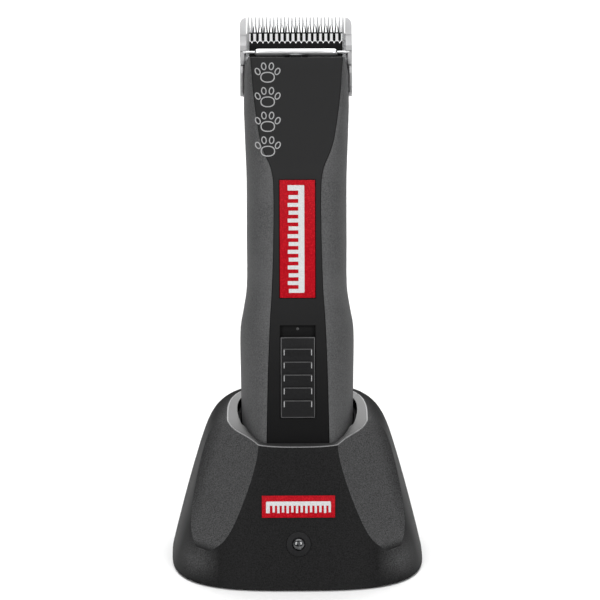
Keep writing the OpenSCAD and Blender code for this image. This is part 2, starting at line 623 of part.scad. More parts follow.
module stand_shell() color([0.16, 0.16, 0.165]) difference() {
    union() {
        difference() {
            stand_form(0, 0, 0);
            stand_form(-stand_wall, stand_wall, 5);
            cup_form(cup_gap + cup_wall, -4);
        }
        intersection() {
            stand_form(-0.6, 1, 0);
            for (p = base_boss) both_sides() translate([p[0], p[1], base_top]) post(3.6, 1.3, 60, 14);
        }
    }
    on_front(indicator_z) {
        along_y(-6, 0.6, 5.4);
        along_y(-6, 12, 2.7);
    }
    translate([0, 0, socket_z]) along_y(30, 70, 4.3);
    on_front(34.4) box([-16, 16], [-6, 0.5], [-4.9, 4.9]);
}

module stand_base() color([0.1, 0.1, 0.1]) difference() {
    linear_extrude(base_t) polygon([for (i = [0:stand_points - 1]) let (a = 360 * i / stand_points)
        [(stand_half_w - base_inset) * se(cos(a), stand_square), (stand_half_d - base_inset) * se(sin(a), stand_square)]]);
    for (p = base_boss) both_sides() translate([p[0], p[1], -1]) {
        cylinder(r = 1.6, h = 6);
        cylinder(r = 3, h = 2.1);
    }
}
module raised_base() translate([0, 0, foot_h]) children();
module stand_feet() color([0.08, 0.08, 0.08])
    for (x = [-36, 36]) for (y = [-36, 36]) translate([x, y, 0]) cylinder(r = 5, h = foot_h);
module base_screws() color([0.6, 0.6, 0.62]) for (p = base_boss) both_sides()
    translate([p[0], p[1], foot_h + 1.1]) mirror([0, 0, 1]) screw(2.8, 1, 1.25, 12);

module cradle_cup() color([0.09, 0.09, 0.095]) difference() {
    intersection() { cup_form(cup_gap + cup_wall, -floor_t - 0.1); under_rim(); }
    cup_form(cup_gap, -0.1);
    in_clipper() both_sides() translate([pad_x, 0, -10]) cylinder(r = 2.1, h = 20);
}
module contact_carrier() in_clipper() color([0.15, 0.15, 0.16]) difference() {
    box([-13, 13], [-5, 5], [-11, -floor_t - 0.1]);
    both_sides() translate([pad_x, 0, -20]) cylinder(r = 2, h = 40);
}
module contact_barrels() in_clipper() color([0.8, 0.65, 0.35]) both_sides() translate([pad_x, 0, -12.4]) difference() {
    cylinder(r = 2, h = 10.4);
    translate([0, 0, 1]) cylinder(r = 1.2, h = 20);
}
module contact_plungers() in_clipper() color([0.85, 0.7, 0.35]) both_sides() translate([pad_x, 0, -9]) {
    cylinder(r = 1.15, h = 8.3);
    translate([0, 0, 8.3]) cylinder(r1 = 1.15, r2 = 0.6, h = 0.64);
}
module charger_board() color([0.05, 0.35, 0.15]) difference() {
    union() {
        box([-21, 21], [-30, 30], [5.6, 7.2]);
        box([-7, 7], [29, 44], [5.6, 7.2]);
    }
    for (y = [-26, 26]) both_sides() translate([18, y, 0]) cylinder(r = 1.3, h = 10);
}
module charger_components() color([0.1, 0.1, 0.1]) {
    box([-18, -8], [10, 18], [7.2, 10]);
    box([8, 16], [12, 24], [7.2, 11]);
    for (x = [-14, 14]) translate([x, 3, 7.2]) cylinder(r = 3, h = 4);
    for (i = [0:3]) box([-6 + i * 4, -4 + i * 4], [20, 24], [7.2, 8.2]);
}
module indicator_bezel() on_front(indicator_z) color([0.12, 0.12, 0.125]) difference() {
    along_y(-0.2, 0.6, 5.3);
    along_y(-1, 1, 2.7);
}
module indicator_lens() on_front(indicator_z) color([0.6, 0.6, 0.6]) {
    along_y(-0.3, 9, 2.5);
    translate([0, -0.3, 0]) rotate([90, 0, 0]) cylinder(r1 = 2.5, r2 = 1.2, h = 1);
}
module power_socket() color([0.07, 0.07, 0.07]) difference() {
    union() {
        box([-5, 5], [34.5, 44], [7.2, 17]);
        translate([0, 0, socket_z]) along_y(44, socket_back_y, 4.2);
    }
    translate([0, 0, socket_z]) along_y(39, socket_back_y + 1, 2.75);
}
module power_socket_pin() color([0.85, 0.85, 0.86]) translate([0, 0, socket_z]) along_y(39, socket_back_y - 1, 1);
module stand_badge() on_front(34.4) color([0.75, 0.05, 0.09])
    box([-15.8, 15.8], [-0.1, 0.5], [-4.75, 4.75]);

front_shell();
rear_shell();
front_panel();
grip_badge();
switch_button();
switch_nub();
switch_body();
circuit_board();
board_components();
housing_screws();
battery_cap();
battery_case();
battery_cells();
battery_terminals();
charge_pads();
motor_can();
motor_end_bell();
motor_magnets();
motor_armature();
motor_shaft();
commutator();
motor_brushes();
motor_bushing();
motor_screws();
drive_frame();
drive_lever();
lever_tip();
pivot_pin();
pivot_spacers();
eccentric();
eccentric_bearing();
comb_blade();
cutter_blade();
tension_bar();
cutter_guides();
blade_screws();
blade_socket();
hinge_base();
hinge_pin();
hinge_screws();
release_button();
latch_strip();
latch_leaf();
stand_shell();
raised_base() stand_base();
stand_feet();
base_screws();
cradle_cup();
contact_carrier();
contact_barrels();
contact_plungers();
charger_board();
charger_components();
indicator_bezel();
indicator_lens();
power_socket();
power_socket_pin();
stand_badge();
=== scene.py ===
import json
import math

import bmesh
import bpy
from mathutils import Matrix, Vector


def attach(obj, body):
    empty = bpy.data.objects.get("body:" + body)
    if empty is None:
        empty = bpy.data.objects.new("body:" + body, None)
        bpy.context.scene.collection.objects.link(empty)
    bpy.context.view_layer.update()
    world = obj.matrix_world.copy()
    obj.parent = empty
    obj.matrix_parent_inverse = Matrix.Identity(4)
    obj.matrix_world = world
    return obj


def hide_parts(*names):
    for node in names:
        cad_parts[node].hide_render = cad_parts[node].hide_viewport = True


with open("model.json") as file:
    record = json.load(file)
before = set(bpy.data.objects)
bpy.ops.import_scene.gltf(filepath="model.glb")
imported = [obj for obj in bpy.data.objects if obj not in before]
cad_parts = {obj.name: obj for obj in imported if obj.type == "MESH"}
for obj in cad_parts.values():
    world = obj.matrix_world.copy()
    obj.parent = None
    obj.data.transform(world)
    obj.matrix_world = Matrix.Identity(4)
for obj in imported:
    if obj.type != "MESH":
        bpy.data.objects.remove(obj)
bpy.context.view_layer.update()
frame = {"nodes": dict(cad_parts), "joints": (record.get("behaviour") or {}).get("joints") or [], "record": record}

# ---------------------------------------------------------------- stand shell
# The charging stand is one shell of dark grey plastic with a fine moulded grain. Its front
# is darker and flat between two cut-back facets, and its sloped rim turns in over the cup.

METRES = Matrix.Scale(0.001, 4)          # every shape below is drawn in millimetres


class Value:
    """A shader socket that ordinary sums work on."""

    def __init__(self, finish, socket):
        self.finish = finish
        self.socket = socket

    def sum(self, operation, first, second):
        return self.finish.node("ShaderNodeMath", {"operation": operation}, {0: first, 1: second})

    def __add__(self, other):
        return self.sum("ADD", self, other)

    __radd__ = __add__

    def __sub__(self, other):
        return self.sum("SUBTRACT", self, other)

    def __rsub__(self, other):
        return self.sum("SUBTRACT", other, self)

    def __mul__(self, other):
        return self.sum("MULTIPLY", self, other)

    __rmul__ = __mul__


class Finish:
    """A material whose nodes are added one at a time; object coordinates are in metres."""

    def __init__(self, name, colour, roughness, **constants):
        self.material = bpy.data.materials.new(name)
        self.material.use_nodes = True
        self.tree = self.material.node_tree
        self.surface = self.tree.nodes["Principled BSDF"]
        self.colour = colour
        self.place = self.node("ShaderNodeTexCoord", output="Object")
        self.show(Roughness=roughness, **{"Base Color": (*colour, 1)}, **constants)

    def feed(self, socket, value):
        if isinstance(value, Value):
            self.tree.links.new(value.socket, socket)
        else:
            socket.default_value = value

    def node(self, kind, settings=None, inputs=None, output=0):
        made = self.tree.nodes.new(kind)
        for key, value in (settings or {}).items():
            setattr(made, key, value)
        for key, value in (inputs or {}).items():
            self.feed(made.inputs[key], value)
        return Value(self, made.outputs[output])

    def show(self, **values):
        for key, value in values.items():
            self.feed(self.surface.inputs[key.replace("_", " ")], value)

    def stretched(self, x, y, z):
        """The piece's own coordinates, stretched so that a pattern runs along one way."""
        return self.node("ShaderNodeMapping", {}, {"Vector": self.place, "Scale": (x, y, z)})

    def axes(self):
        """The piece's own x, y and z."""
        parts = self.node("ShaderNodeSeparateXYZ", {}, {0: self.place}).socket.node
        return [Value(self, socket) for socket in parts.outputs]

    def noise(self, size, detail=2.0, vector=None):
        """Cloudy noise, 0 to 1, with features of that size in millimetres."""
        return self.node("ShaderNodeTexNoise", {}, {
            "Vector": vector or self.place, "Scale": 1000 / size, "Detail": detail})

    def ramp(self, value, low, high, to_low=0.0, to_high=1.0):
        """Value from low to high, spread over to_low to to_high and held beyond them."""
        return self.node("ShaderNodeMapRange", {}, {
            "Value": value, "From Min": low, "From Max": high, "To Min": to_low, "To Max": to_high})

    def tint(self, share, first, second):
        """First colour where share is 0, second colour where it is 1."""
        return self.node("ShaderNodeMix", {"data_type": "RGBA"}, {
            "Factor": share, 6: first if isinstance(first, Value) else (*first, 1),
            7: second if isinstance(second, Value) else (*second, 1)}, output=2)

    def relief(self, height, depth, strength=1.0):
        """Bump of that depth in millimetres."""
        self.show(Normal=self.node("ShaderNodeBump", {}, {
            "Strength": strength, "Distance": depth / 1000, "Height": height}))


def moulded(name, colour, roughness, grain=0.5, depth=0.03, speckle=0.3, tone=None, **constants):
    """Moulded plastic with a fine grain. Tone, if given, is a colour that varies over the piece,
    painted light and shade; without it the colour has faint flow marks and hand polish."""
    finish = Finish(name, colour, roughness, **constants)
    fine = finish.noise(grain, 3)
    broad = finish.noise(22, 3)
    if tone:
        spots = finish.ramp(fine, 0.3, 0.7, 1 - speckle, 1 + speckle)
        shade = finish.node("ShaderNodeVectorMath", {"operation": "SCALE"},
                            {0: tone(finish), "Scale": spots})
    else:
        mottled = finish.tint(finish.ramp(fine, 0.3, 0.7), [c * (1 - speckle) for c in colour],
                              [c * (1 + speckle) for c in colour])
        polished = [c * 1.5 for c in colour]
        shade = finish.tint(finish.ramp(broad, 0.45, 0.75, 0, 0.35), mottled, polished)
    finish.show(**{"Base Color": shade}, Roughness=roughness + (fine - 0.5) * 0.16 - broad * 0.06)
    finish.relief(fine, depth)
    return finish


def metal(name, colour, roughness, along=(1, 1, 1), line=0.25, depth=0.004, **constants):
    """Ground or plated metal: grinding lines along one way, and dull patches."""
    finish = Finish(name, colour, roughness, Metallic=1.0, **constants)
    lines = finish.noise(line, 3, finish.stretched(*along))
    broad = finish.noise(9, 3)
    dull = [c * 0.82 for c in colour]
    finish.show(**{"Base Color": finish.tint(finish.ramp(broad, 0.35, 0.75), colour, dull)},
                Roughness=roughness + (lines - 0.5) * 0.18 + (broad - 0.5) * 0.12)
    finish.relief(lines, depth)
    return finish


def pull(bm, rings, closed=True):
    """Extrude the first ring of points through the others, and return the rings of vertices."""
    ring = [bm.verts.new(p) for p in rings[0]]
    pairs = zip(ring, ring[1:] + ring[:1] if closed else ring[1:])
    edges = [bm.edges.new(pair) for pair in pairs]
    loops = [ring]
    for points in rings[1:]:
        place = {v: k for k, v in enumerate(ring)}
        made = bmesh.ops.extrude_edge_only(bm, edges=edges)["geom"]
        edges = [e for e in made if isinstance(e, bmesh.types.BMEdge)
                 and not any(v in place for v in e.verts)]
        ring = [None] * len(place)
        for v in made:
            if isinstance(v, bmesh.types.BMVert):
                k = next(place[e.other_vert(v)] for e in v.link_edges if e.other_vert(v) in place)
                ring[k] = v
                v.co = points[k]
        loops.append(ring)
    return loops


def between(bm, lower, upper, j):
    """The face between two rings of vertices at place j."""
    k = (j + 1) % len(lower)
    return bm.faces.get((lower[j], lower[k], upper[k], upper[j]))


def close(bm, *loops):
    """Fill rings of vertices and turn every face outwards."""
    for loop in loops:
        bm.faces.new(loop)
    bmesh.ops.recalc_face_normals(bm, faces=bm.faces)
    return bm


def round_edges(bm, width, edges=None, angle=30, segments=2, painted_highlight=None):
    """Round the given edges, or every edge sharper than angle; the last argument is the material index of the new
    faces, a painted highlight.
    """
    if edges is None:
        edges = [e for e in bm.edges if len(e.link_faces) == 2
                 and e.calc_face_angle(0) > math.radians(angle)]
    made = bmesh.ops.bevel(bm, geom=edges, offset=width, offset_type="OFFSET", segments=segments,
                           profile=0.5, affect="EDGES", clamp_overlap=True, material=-1)
    if painted_highlight is not None:
        for face in made["faces"]:
            face.material_index = painted_highlight
    return bm


def blank(bm, name="blank"):
    """A bmesh as an object, to be carved or settled."""
    mesh = bpy.data.meshes.new(name)
    bm.to_mesh(mesh)
    bm.free()
    made = bpy.data.objects.new(name, mesh)
    bpy.context.scene.collection.objects.link(made)
    return made


def carve(piece, *cutters, operation="DIFFERENCE"):
    """Run the piece's modifiers and a Boolean with each cutter, and drop the cutters."""
    for cutter in cutters:
        step = piece.modifiers.new("carve", "BOOLEAN")
        step.operation = operation
        step.solver = "MANIFOLD"
        step.object = cutter
    depsgraph = bpy.context.evaluated_depsgraph_get()
    result = bpy.data.meshes.new_from_object(piece.evaluated_get(depsgraph))
    piece.modifiers.clear()
    piece.data = result
    for cutter in cutters:
        bpy.data.objects.remove(cutter)
    return piece


def reopen(piece):
    """The piece's mesh as a bmesh with its flat faces merged."""
    bm = bmesh.new()
    bm.from_mesh(piece.data)
    bpy.data.objects.remove(piece)
    bmesh.ops.dissolve_limit(bm, angle_limit=math.radians(0.4), verts=bm.verts, edges=bm.edges)
    return bm


def settle(piece, name, body, finishes, stands_for=(), place=Matrix(), crease=32):
    """Name a finished piece, put it in its place in metres, and tie it to its body."""
    piece.name = name
    piece.data.transform(METRES @ place)
    while len(piece.data.materials) < len(finishes):
        piece.data.materials.append(None)
    for k, finish in enumerate(finishes):
        piece.data.materials[k] = finish.material
    piece.data.shade_smooth()
    piece.data.set_sharp_from_angle(angle=math.radians(crease))
    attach(piece, body)
    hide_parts(*stands_for)
    return piece


def bar(x, y, z):
    """A rectangular bar between the given limits."""
    bm = bmesh.new()
    bmesh.ops.create_cube(bm, size=1)
    size = Matrix.Diagonal((x[1] - x[0], y[1] - y[0], z[1] - z[0], 1))
    middle = Matrix.Translation(((x[0] + x[1]) / 2, (y[0] + y[1]) / 2, (z[0] + z[1]) / 2))
    bmesh.ops.transform(bm, matrix=middle @ size, verts=bm.verts)
    return bm


def prism(points, low, high, along=0):
    """A solid drawn out from low to high along X, 0, or Y, 1; its outline is in the other two."""
    def corner(point, at):
        return (*point[:along], at, *point[along:])

    bm = bmesh.new()
    face = bm.faces.new([bm.verts.new(corner(point, low)) for point in points])
    made = bmesh.ops.extrude_face_region(bm, geom=[face])["geom"]
    bmesh.ops.translate(bm, vec=corner((0, 0), high - low),
                        verts=[v for v in made if isinstance(v, bmesh.types.BMVert)])
    bmesh.ops.recalc_face_normals(bm, faces=bm.faces)
    return bm


def turned(points, axis, steps, ring=False):
    """A turned solid from its half outline; the outline of a ring is closed."""
    bm = bmesh.new()
    verts = [bm.verts.new(point) for point in points]
    edges = [bm.edges.new(pair) for pair in zip(verts, verts[1:] + (verts[:1] if ring else []))]
    bmesh.ops.spin(bm, geom=verts + edges, cent=(0, 0, 0), axis=axis, angle=2 * math.pi,
                   steps=steps, use_merge=True, use_duplicate=False)
    bmesh.ops.remove_doubles(bm, verts=bm.verts, dist=0.0005)
    bmesh.ops.recalc_face_normals(bm, faces=bm.faces)
    return bm


def add(bm, other, finish=None):
    """Put another bmesh's faces into this one, with their own marks or that of one finish."""
    if finish is not None:
        for face in other.faces:
            face.material_index = finish
    shape = bpy.data.meshes.new("part")
    other.to_mesh(shape)
    other.free()
    bm.from_mesh(shape)
    bpy.data.meshes.remove(shape)
    return bm


def placed(bm, place):
    bmesh.ops.transform(bm, matrix=place, verts=bm.verts)
    return bm


def rod(start, end, radius, end_radius=None, segments=48):
    """A round rod from start to end."""
    start, end = Vector(start), Vector(end)
    bm = bmesh.new()
    turn = (end - start).to_track_quat("Z", "Y").to_matrix().to_4x4()
    bmesh.ops.create_cone(bm, cap_ends=True, segments=segments, radius1=radius,
                          radius2=radius if end_radius is None else end_radius,
                          depth=(end - start).length,
                          matrix=Matrix.Translation((start + end) / 2) @ turn)
    return bm


def mix(a, b, t):
    return a + (b - a) * t


STAND_HALF_WIDTH = 55
STAND_HALF_DEPTH = 54
FOOT_SQUARE, RIM_SQUARE = 3.1, 2.9
RIM_HALF_WIDTH, RIM_FRONT, RIM_BACK = 30.5, -32, 18.5
RIM_MIDDLE, RIM_HALF_DEPTH = (RIM_FRONT + RIM_BACK) / 2, (RIM_BACK - RIM_FRONT) / 2
RIM_FRONT_HEIGHT, RIM_SLOPE = 58.5, math.radians(15)
SHELL_FOOT = 0.8
STAND_WALL = 2
FACET_START = 0.24                       # share of the height at which the facets begin
FRONT_STEPS, FACET_STEPS, SIDE_STEPS = 12, 10, 30


def rim_height(y):
    return RIM_FRONT_HEIGHT + (y - RIM_FRONT) * math.tan(RIM_SLOPE)


def power(value, square):
    return math.copysign(abs(value) ** (2 / square), value)


def inward(h, side):
    """How far the wall has come in at share h of its height; the sides round over at the top."""
    return mix(h, 0.64 * h + 0.1 * h * h + 0.26 * h ** 16, side)


def stand_point(angle, h):
    """A point of the wall's outline at share h of its height, and whether the facet cuts it."""
    c, s = math.cos(angle), math.sin(angle)
    t = inward(h, 1 - max(0, -s) ** 3)
    foot = (STAND_HALF_WIDTH * power(c, FOOT_SQUARE), STAND_HALF_DEPTH * power(s, FOOT_SQUARE))
    rim = (RIM_HALF_WIDTH * power(c, RIM_SQUARE),
           RIM_MIDDLE + RIM_HALF_DEPTH * power(s, RIM_SQUARE))
    x, y = mix(foot[0], rim[0], t), mix(foot[1], rim[1], t)
    if h <= FACET_START or s > 0.3:
        return x, y, False
    share = (1 - h) / (1 - FACET_START)
    crease = 17.2 + 24.4 * (0.7 * share ** 1.25 + 0.3 * share ** 12)
    half_width = mix(STAND_HALF_WIDTH, RIM_HALF_WIDTH, inward(h, 1))
    half_depth = mix(STAND_HALF_DEPTH, RIM_HALF_DEPTH, h)
    middle = mix(0, RIM_MIDDLE, h)
    square = mix(FOOT_SQUARE, RIM_SQUARE, h)
    front = -half_depth * max(0, 1 - min(1, crease / half_width) ** square) ** (1 / square)
    turn = math.radians(mix(45, 55, (h - FACET_START) / (1 - FACET_START)))
    limit = math.sin(turn) * crease - math.cos(turn) * front
    reach = math.sin(turn) * abs(x) - math.cos(turn) * (y - middle)
    if reach <= limit:
        return x, y, False
    outer = max(0, (abs(x) - crease) / (half_width - crease))
    melt = 0.6 * max(0, (h - 0.6) / 0.4) ** 2 * outer ** 4
    kept = mix(limit / reach, 1, melt)
    return x * kept, middle + (y - middle) * kept, True


def even(points, steps):
    """A run of points with even spaces, as steps + 1 points."""
    lengths = [0]
    for a, b in zip(points, points[1:]):
        lengths.append(lengths[-1] + math.dist(a, b))
    spaced, k = [], 0
    for i in range(steps + 1):
        target = lengths[-1] * i / steps
        while k < len(points) - 2 and lengths[k + 1] < target:
            k += 1
        t = (target - lengths[k]) / max(1e-9, lengths[k + 1] - lengths[k])
        spaced.append(tuple(mix(a, b, t) for a, b in zip(points[k], points[k + 1])))
    return spaced


def wall_points(h):
    """Half of the outline from front to back at share h, and which of its points are cut."""
    fine = 720
    points = [stand_point(math.radians(-90 + 180 * k / fine), h) for k in range(fine + 1)]
    return [(x, y) for x, y, cut in points], [k for k, point in enumerate(points) if point[2]]


FACET_TOE = wall_points(FACET_START + 0.002)[1]


def stand_outline(h):
    """Half of the outline with points on both creases of the facet."""
    points, cut = wall_points(h)
    cut = cut or FACET_TOE
    first, last = max(1, cut[0]), min(len(points) - 2, cut[-1] + 1)
    return (even(points[:first + 1], FRONT_STEPS)[:-1]
            + even(points[first:last + 1], FACET_STEPS)[:-1] + even(points[last:], SIDE_STEPS))


def both_sides(half):
    """A closed ring from its right half, which runs from front to back."""
    return half + [(-x, y, z) for x, y, z in reversed(half[1:-1])]


def stand_ring(h):
    return both_sides([(x, y, mix(SHELL_FOOT, rim_height(y), h)) for x, y in stand_outline(h)])


# The clipper's own frame, docked: its foot, its length along the lift and its switch side to -Y
joints = {j["name"]: j for j in frame["joints"]}
lift = Vector(joints["clipper_lift"]["axis"]).normalized()
across = Vector((1, 0, 0))
PIVOT_DEPTH, PIVOT_HEIGHT = 0.5, 163
upright = Matrix((across, lift.cross(across), lift)).transposed().to_4x4()
foot = (Vector(joints["lever_rock"]["pos_m"]) * 1000
        - upright @ Vector((0, PIVOT_DEPTH, PIVOT_HEIGHT)))
docked = Matrix.Translation(foot) @ upright

# Rows of the clipper's body: height, half width, half width of the centre panel, depth in
# front, depth behind, and the roundness of the front corner, 2 for an ellipse
BODY_ROWS = [
    (0, 23.5, 14.2, 19.4, 17.4, 1.7), (30, 24.1, 13.6, 20, 18, 1.7),
    (57, 24.6, 13, 20.5, 18.5, 1.7), (78, 24.7, 12.2, 20.8, 18.6, 1.75),
    (87, 23.2, 11.7, 20.4, 18.1, 1.9), (96, 21.9, 11.1, 20, 17.6, 2),
    (118, 21.8, 10.4, 19.8, 17.4, 2.1), (142, 21.8, 10.4, 19.6, 17.4, 2.1),
    (149, 22, 11.6, 18.8, 17.2, 2), (154, 22.2, 13.8, 17.2, 16.8, 1.9),
    (159, 22.4, 15.6, 15.7, 16.2, 1.8), (165, 22.6, 16.8, 14.4, 15, 1.7),
    (174, 22.9, 18.1, 12.9, 13.6, 1.65), (183, 22.8, 19.1, 11.3, 14, 1.6),
    (190.5, 22.4, 19.6, 9.6, 16.5, 1.6), (196.2, 21.1, 20.1, 7.2, 19, 1.6)]
WIDEST_DEPTH = 4                         # depth at which the body is widest
BACK_SQUARE = 2.7
ARC_STEPS = 22


def body_size(z, column):
    """A smooth curve through one column of the rows."""
    last = len(BODY_ROWS) - 1
    k = max([0] + [i for i in range(last) if BODY_ROWS[i][0] <= z])

    def slope(i):
        a, b = BODY_ROWS[max(i - 1, 0)], BODY_ROWS[min(i + 1, last)]
        return (b[column] - a[column]) / (b[0] - a[0])

    a, b = BODY_ROWS[k], BODY_ROWS[k + 1]
    span = b[0] - a[0]
    t = max(0, min(1, (z - a[0]) / span))
    return ((2 * t ** 3 - 3 * t ** 2 + 1) * a[column] + (t ** 3 - 2 * t ** 2 + t) * span * slope(k)
            + (3 * t ** 2 - 2 * t ** 3) * b[column] + (t ** 3 - t ** 2) * span * slope(k + 1))


def body_point(k, z, grown):
    """Point k of the right half of the body's outline, front to back, at height z."""
    width, strip = body_size(z, 1) + grown, body_size(z, 2) + grown * 0.3
    front, back, square = body_size(z, 3) + grown, body_size(z, 4) + grown, body_size(z, 5)
    if k <= ARC_STEPS:
        a = math.pi / 2 * k / ARC_STEPS
        return Vector((strip + (width - strip) * power(math.sin(a), square),
                       WIDEST_DEPTH - (front + WIDEST_DEPTH) * power(math.cos(a), square), z))
    a = math.pi / 2 * (k - ARC_STEPS) / ARC_STEPS
    return Vector((width * power(math.cos(a), BACK_SQUARE),
                   WIDEST_DEPTH + (back - WIDEST_DEPTH) * power(math.sin(a), BACK_SQUARE), z))


def whole_ring(half):
    """A closed ring from a right half that starts off the middle and ends on it."""
    return [tuple(p) for p in half] + [(-p[0], p[1], p[2]) for p in reversed(half[:-1])]


def rim_point(k, grown, drop):
    """Where the body's outline, grown, meets the rim's plane lowered by drop."""
    z = 40
    for _ in range(8):
        point = docked @ body_point(k, z, grown)
        z += (rim_height(point.y) - drop - point.z) / 0.92
    return body_point(k, z, grown)


# The opening in the rim: it hugs the clipper in front and steps back at its sides
OPENING_GAP, SIDE_STEP = 0.8, 1.1
STEP_DEPTH = 7.2                         # how far back the step is, in the clipper's frame


def opening(drop):
    half = []
    for k in range(2 * ARC_STEPS + 1):
        tight = rim_point(k, OPENING_GAP, drop)
        half.append(rim_point(k, OPENING_GAP + SIDE_STEP, drop) if tight.y > -STEP_DEPTH else tight)
    return [docked @ Vector(p) for p in whole_ring(half)]


def seen_from(middle, outline, point):
    """Where the ray from the middle through a point crosses a closed outline, in plan."""
    direction = (Vector(point) - middle).to_2d()
    for a, b in zip(outline, outline[1:] + outline[:1]):
        p, q = (a - middle).to_2d(), (b - middle).to_2d()
        side_p, side_q = direction.cross(p), direction.cross(q)
        if side_p * side_q <= 0 and side_p != side_q and direction.dot(p + q) > 0:
            return a.lerp(b, side_p / (side_p - side_q))
    raise ValueError("the outline doesn't go round the middle")


shell_heights = ([k * 0.03 for k in range(8)]
                 + [0.24, 0.2425, 0.246, 0.251, 0.258, 0.267, 0.278, 0.292, 0.31]
                 + [0.34 + 0.04 * k for k in range(15)] + [0.93, 0.95, 0.965, 0.98, 0.99, 1])
top_ring = stand_ring(1)
rim_middle = Vector((0, RIM_MIDDLE, rim_height(RIM_MIDDLE)))
LIP_DROP = 3
rim_inner = [seen_from(rim_middle, opening(0), p) for p in top_ring]
lip_lower = [p - lift * LIP_DROP for p in rim_inner]
bm = bmesh.new()
rings = pull(bm, [stand_ring(h) for h in shell_heights] + [rim_inner, lip_lower])
bmesh.ops.recalc_face_normals(bm, faces=bm.faces)
bm.normal_update()
if between(bm, rings[0], rings[1], 0).normal.y > 0:
    bmesh.ops.reverse_faces(bm, faces=bm.faces)
count = len(top_ring)
creases = []
for j in range(count):
    between(bm, rings[-3], rings[-2], j).material_index = 3
    between(bm, rings[-2], rings[-1], j).material_index = 4
for lower, upper, h in zip(rings, rings[1:], shell_heights[:-1]):
    for j in range(count):
        facing = min(j, count - 1 - j)
        if FRONT_STEPS <= facing < FRONT_STEPS + FACET_STEPS and h > FACET_START:
            between(bm, lower, upper, j).material_index = 1
    if h >= FACET_START:
        for j in (FRONT_STEPS, FRONT_STEPS + FACET_STEPS):
            creases += [bm.edges.get((lower[k], upper[k])) for k in (j, count - j)]
rim_edges = [bm.edges.get(pair) for pair in zip(rings[-3], rings[-3][1:] + rings[-3][:1])]
before = set(bm.faces)
round_edges(bm, 0.3, creases + rim_edges)
for face in set(bm.faces) - before:
    # The painted highlight along the rim is the narrow new faces of its rounded edge
    if all(v.co.z > rim_height(v.co.y) - 0.5 for v in face.verts) and face.calc_area() < 0.9:
        face.material_index = 2
shell = blank(bm)
wall = shell.modifiers.new("wall", "SOLIDIFY")
wall.thickness = STAND_WALL
wall.offset = -1
wall.use_even_offset = True

# The front is flat enough to take a badge seat, the lamp's hole and, behind, the inlet's hole
FRONT_SLOPE = math.atan((STAND_HALF_DEPTH + RIM_FRONT) / RIM_FRONT_HEIGHT)
LAMP_HEIGHT, BADGE_HEIGHT, SOCKET_HEIGHT = 19.2, 34.4, 12
LAMP_SEAT, LENS_HOLE, SOCKET_HOLE = 5.55, 2.7, 4.3
BADGE_HALF_WIDTH, BADGE_HALF_HEIGHT, BADGE_GAP = 15.8, 4.75, 0.15


def on_front(height):
    """The frame of the stand's front face at a height: X across, Z up the face, -Y out of it."""
    y = -STAND_HALF_DEPTH + height * math.tan(FRONT_SLOPE)
    return Matrix.Translation((0, y, height)) @ Matrix.Rotation(-FRONT_SLOPE, 4, "X")


carve(shell,
      blank(placed(rod((0, -6, 0), (0, 0.5, 0), LAMP_SEAT, segments=96), on_front(LAMP_HEIGHT))),
      blank(placed(rod((0, -6, 0), (0, 12, 0), LENS_HOLE), on_front(LAMP_HEIGHT))),
      blank(placed(bar((-BADGE_HALF_WIDTH - BADGE_GAP, BADGE_HALF_WIDTH + BADGE_GAP), (-6, 0.35),
                       (-BADGE_HALF_HEIGHT - BADGE_GAP, BADGE_HALF_HEIGHT + BADGE_GAP)),
                   on_front(BADGE_HEIGHT))),
      blank(rod((0, 30, SOCKET_HEIGHT), (0, 70, SOCKET_HEIGHT), SOCKET_HOLE)))


def front_painted_light(finish):
    """Dark, with painted light: lighter at the front corners and on the shoulders behind the facets."""
    x, y, z = finish.axes()
    side = finish.node("ShaderNodeMath", {"operation": "ABSOLUTE"}, {0: x})
    corner = (finish.ramp(side, 0.034, 0.048) * finish.ramp(z, 0.001, 0.009)
              * finish.ramp(y, -0.04, -0.024, 1, 0) * finish.ramp(z, 0.011, 0.024, 1, 0))
    out = side + 0.28 * z
    shoulder = (finish.ramp(out, 0.041, 0.044) * finish.ramp(z, 0.02, 0.035)
                * finish.ramp(out, 0.0495, 0.058, 1, 0) * finish.ramp(y, -0.008, 0.012, 1, 0))
    return finish.tint(corner + 0.75 * shoulder, finish.colour, (0.08, 0.08, 0.081))


def facet_painted_shade(finish):
    """Grey, with painted shade: going dark at the facet's toe and towards the side of the stand."""
    x, y, z = finish.axes()
    side = finish.node("ShaderNodeMath", {"operation": "ABSOLUTE"}, {0: x})
    outer = finish.ramp(side + 0.28 * z, 0.0495, 0.058) * finish.ramp(z, 0.016, 0.034)
    toe = finish.ramp(z, 0.0148, 0.0172)
    return finish.tint(1 - (1 - outer) * toe, finish.colour, (0.018, 0.018, 0.0183))


stand_front = moulded("stand_front_plastic", (0.0115, 0.0115, 0.0117), 0.55, depth=0.02,
                      speckle=0.5, tone=front_painted_light, **{"Specular IOR Level": 0.06})
stand_facet = moulded("stand_facet_plastic", (0.06, 0.0602, 0.061), 0.55, depth=0.04,
                      speckle=0.5, tone=facet_painted_shade, **{"Specular IOR Level": 0.08})
# A light grey painted highlight for the rim's rounded outer edge
stand_rim_highlight = moulded("stand_rim_painted_highlight", (0.16, 0.16, 0.163), 0.35, depth=0.01)
stand_band = moulded("stand_rim_plastic", (0.014, 0.014, 0.0143), 0.4, depth=0.003)
cup_plastic = moulded("cup_plastic", (0.005, 0.005, 0.0052), 0.6, grain=0.8, depth=0.02,
                      **{"Specular IOR Level": 0.06})
settle(shell, "stand_body", "stand",
       [stand_front, stand_facet, stand_rim_highlight, stand_band, cup_plastic],
       ["stand_shell"])

# ---------------------------------------------------------------- cup
# The cup that the clipper stands in is a separate black moulding, pushed up into the rim.
# It follows the clipper's foot all round and has a closed floor with two holes for the pins.

CUP_FLOOR = -3.5
PIN_OFFSET, PIN_HOLE = 8, 2.1


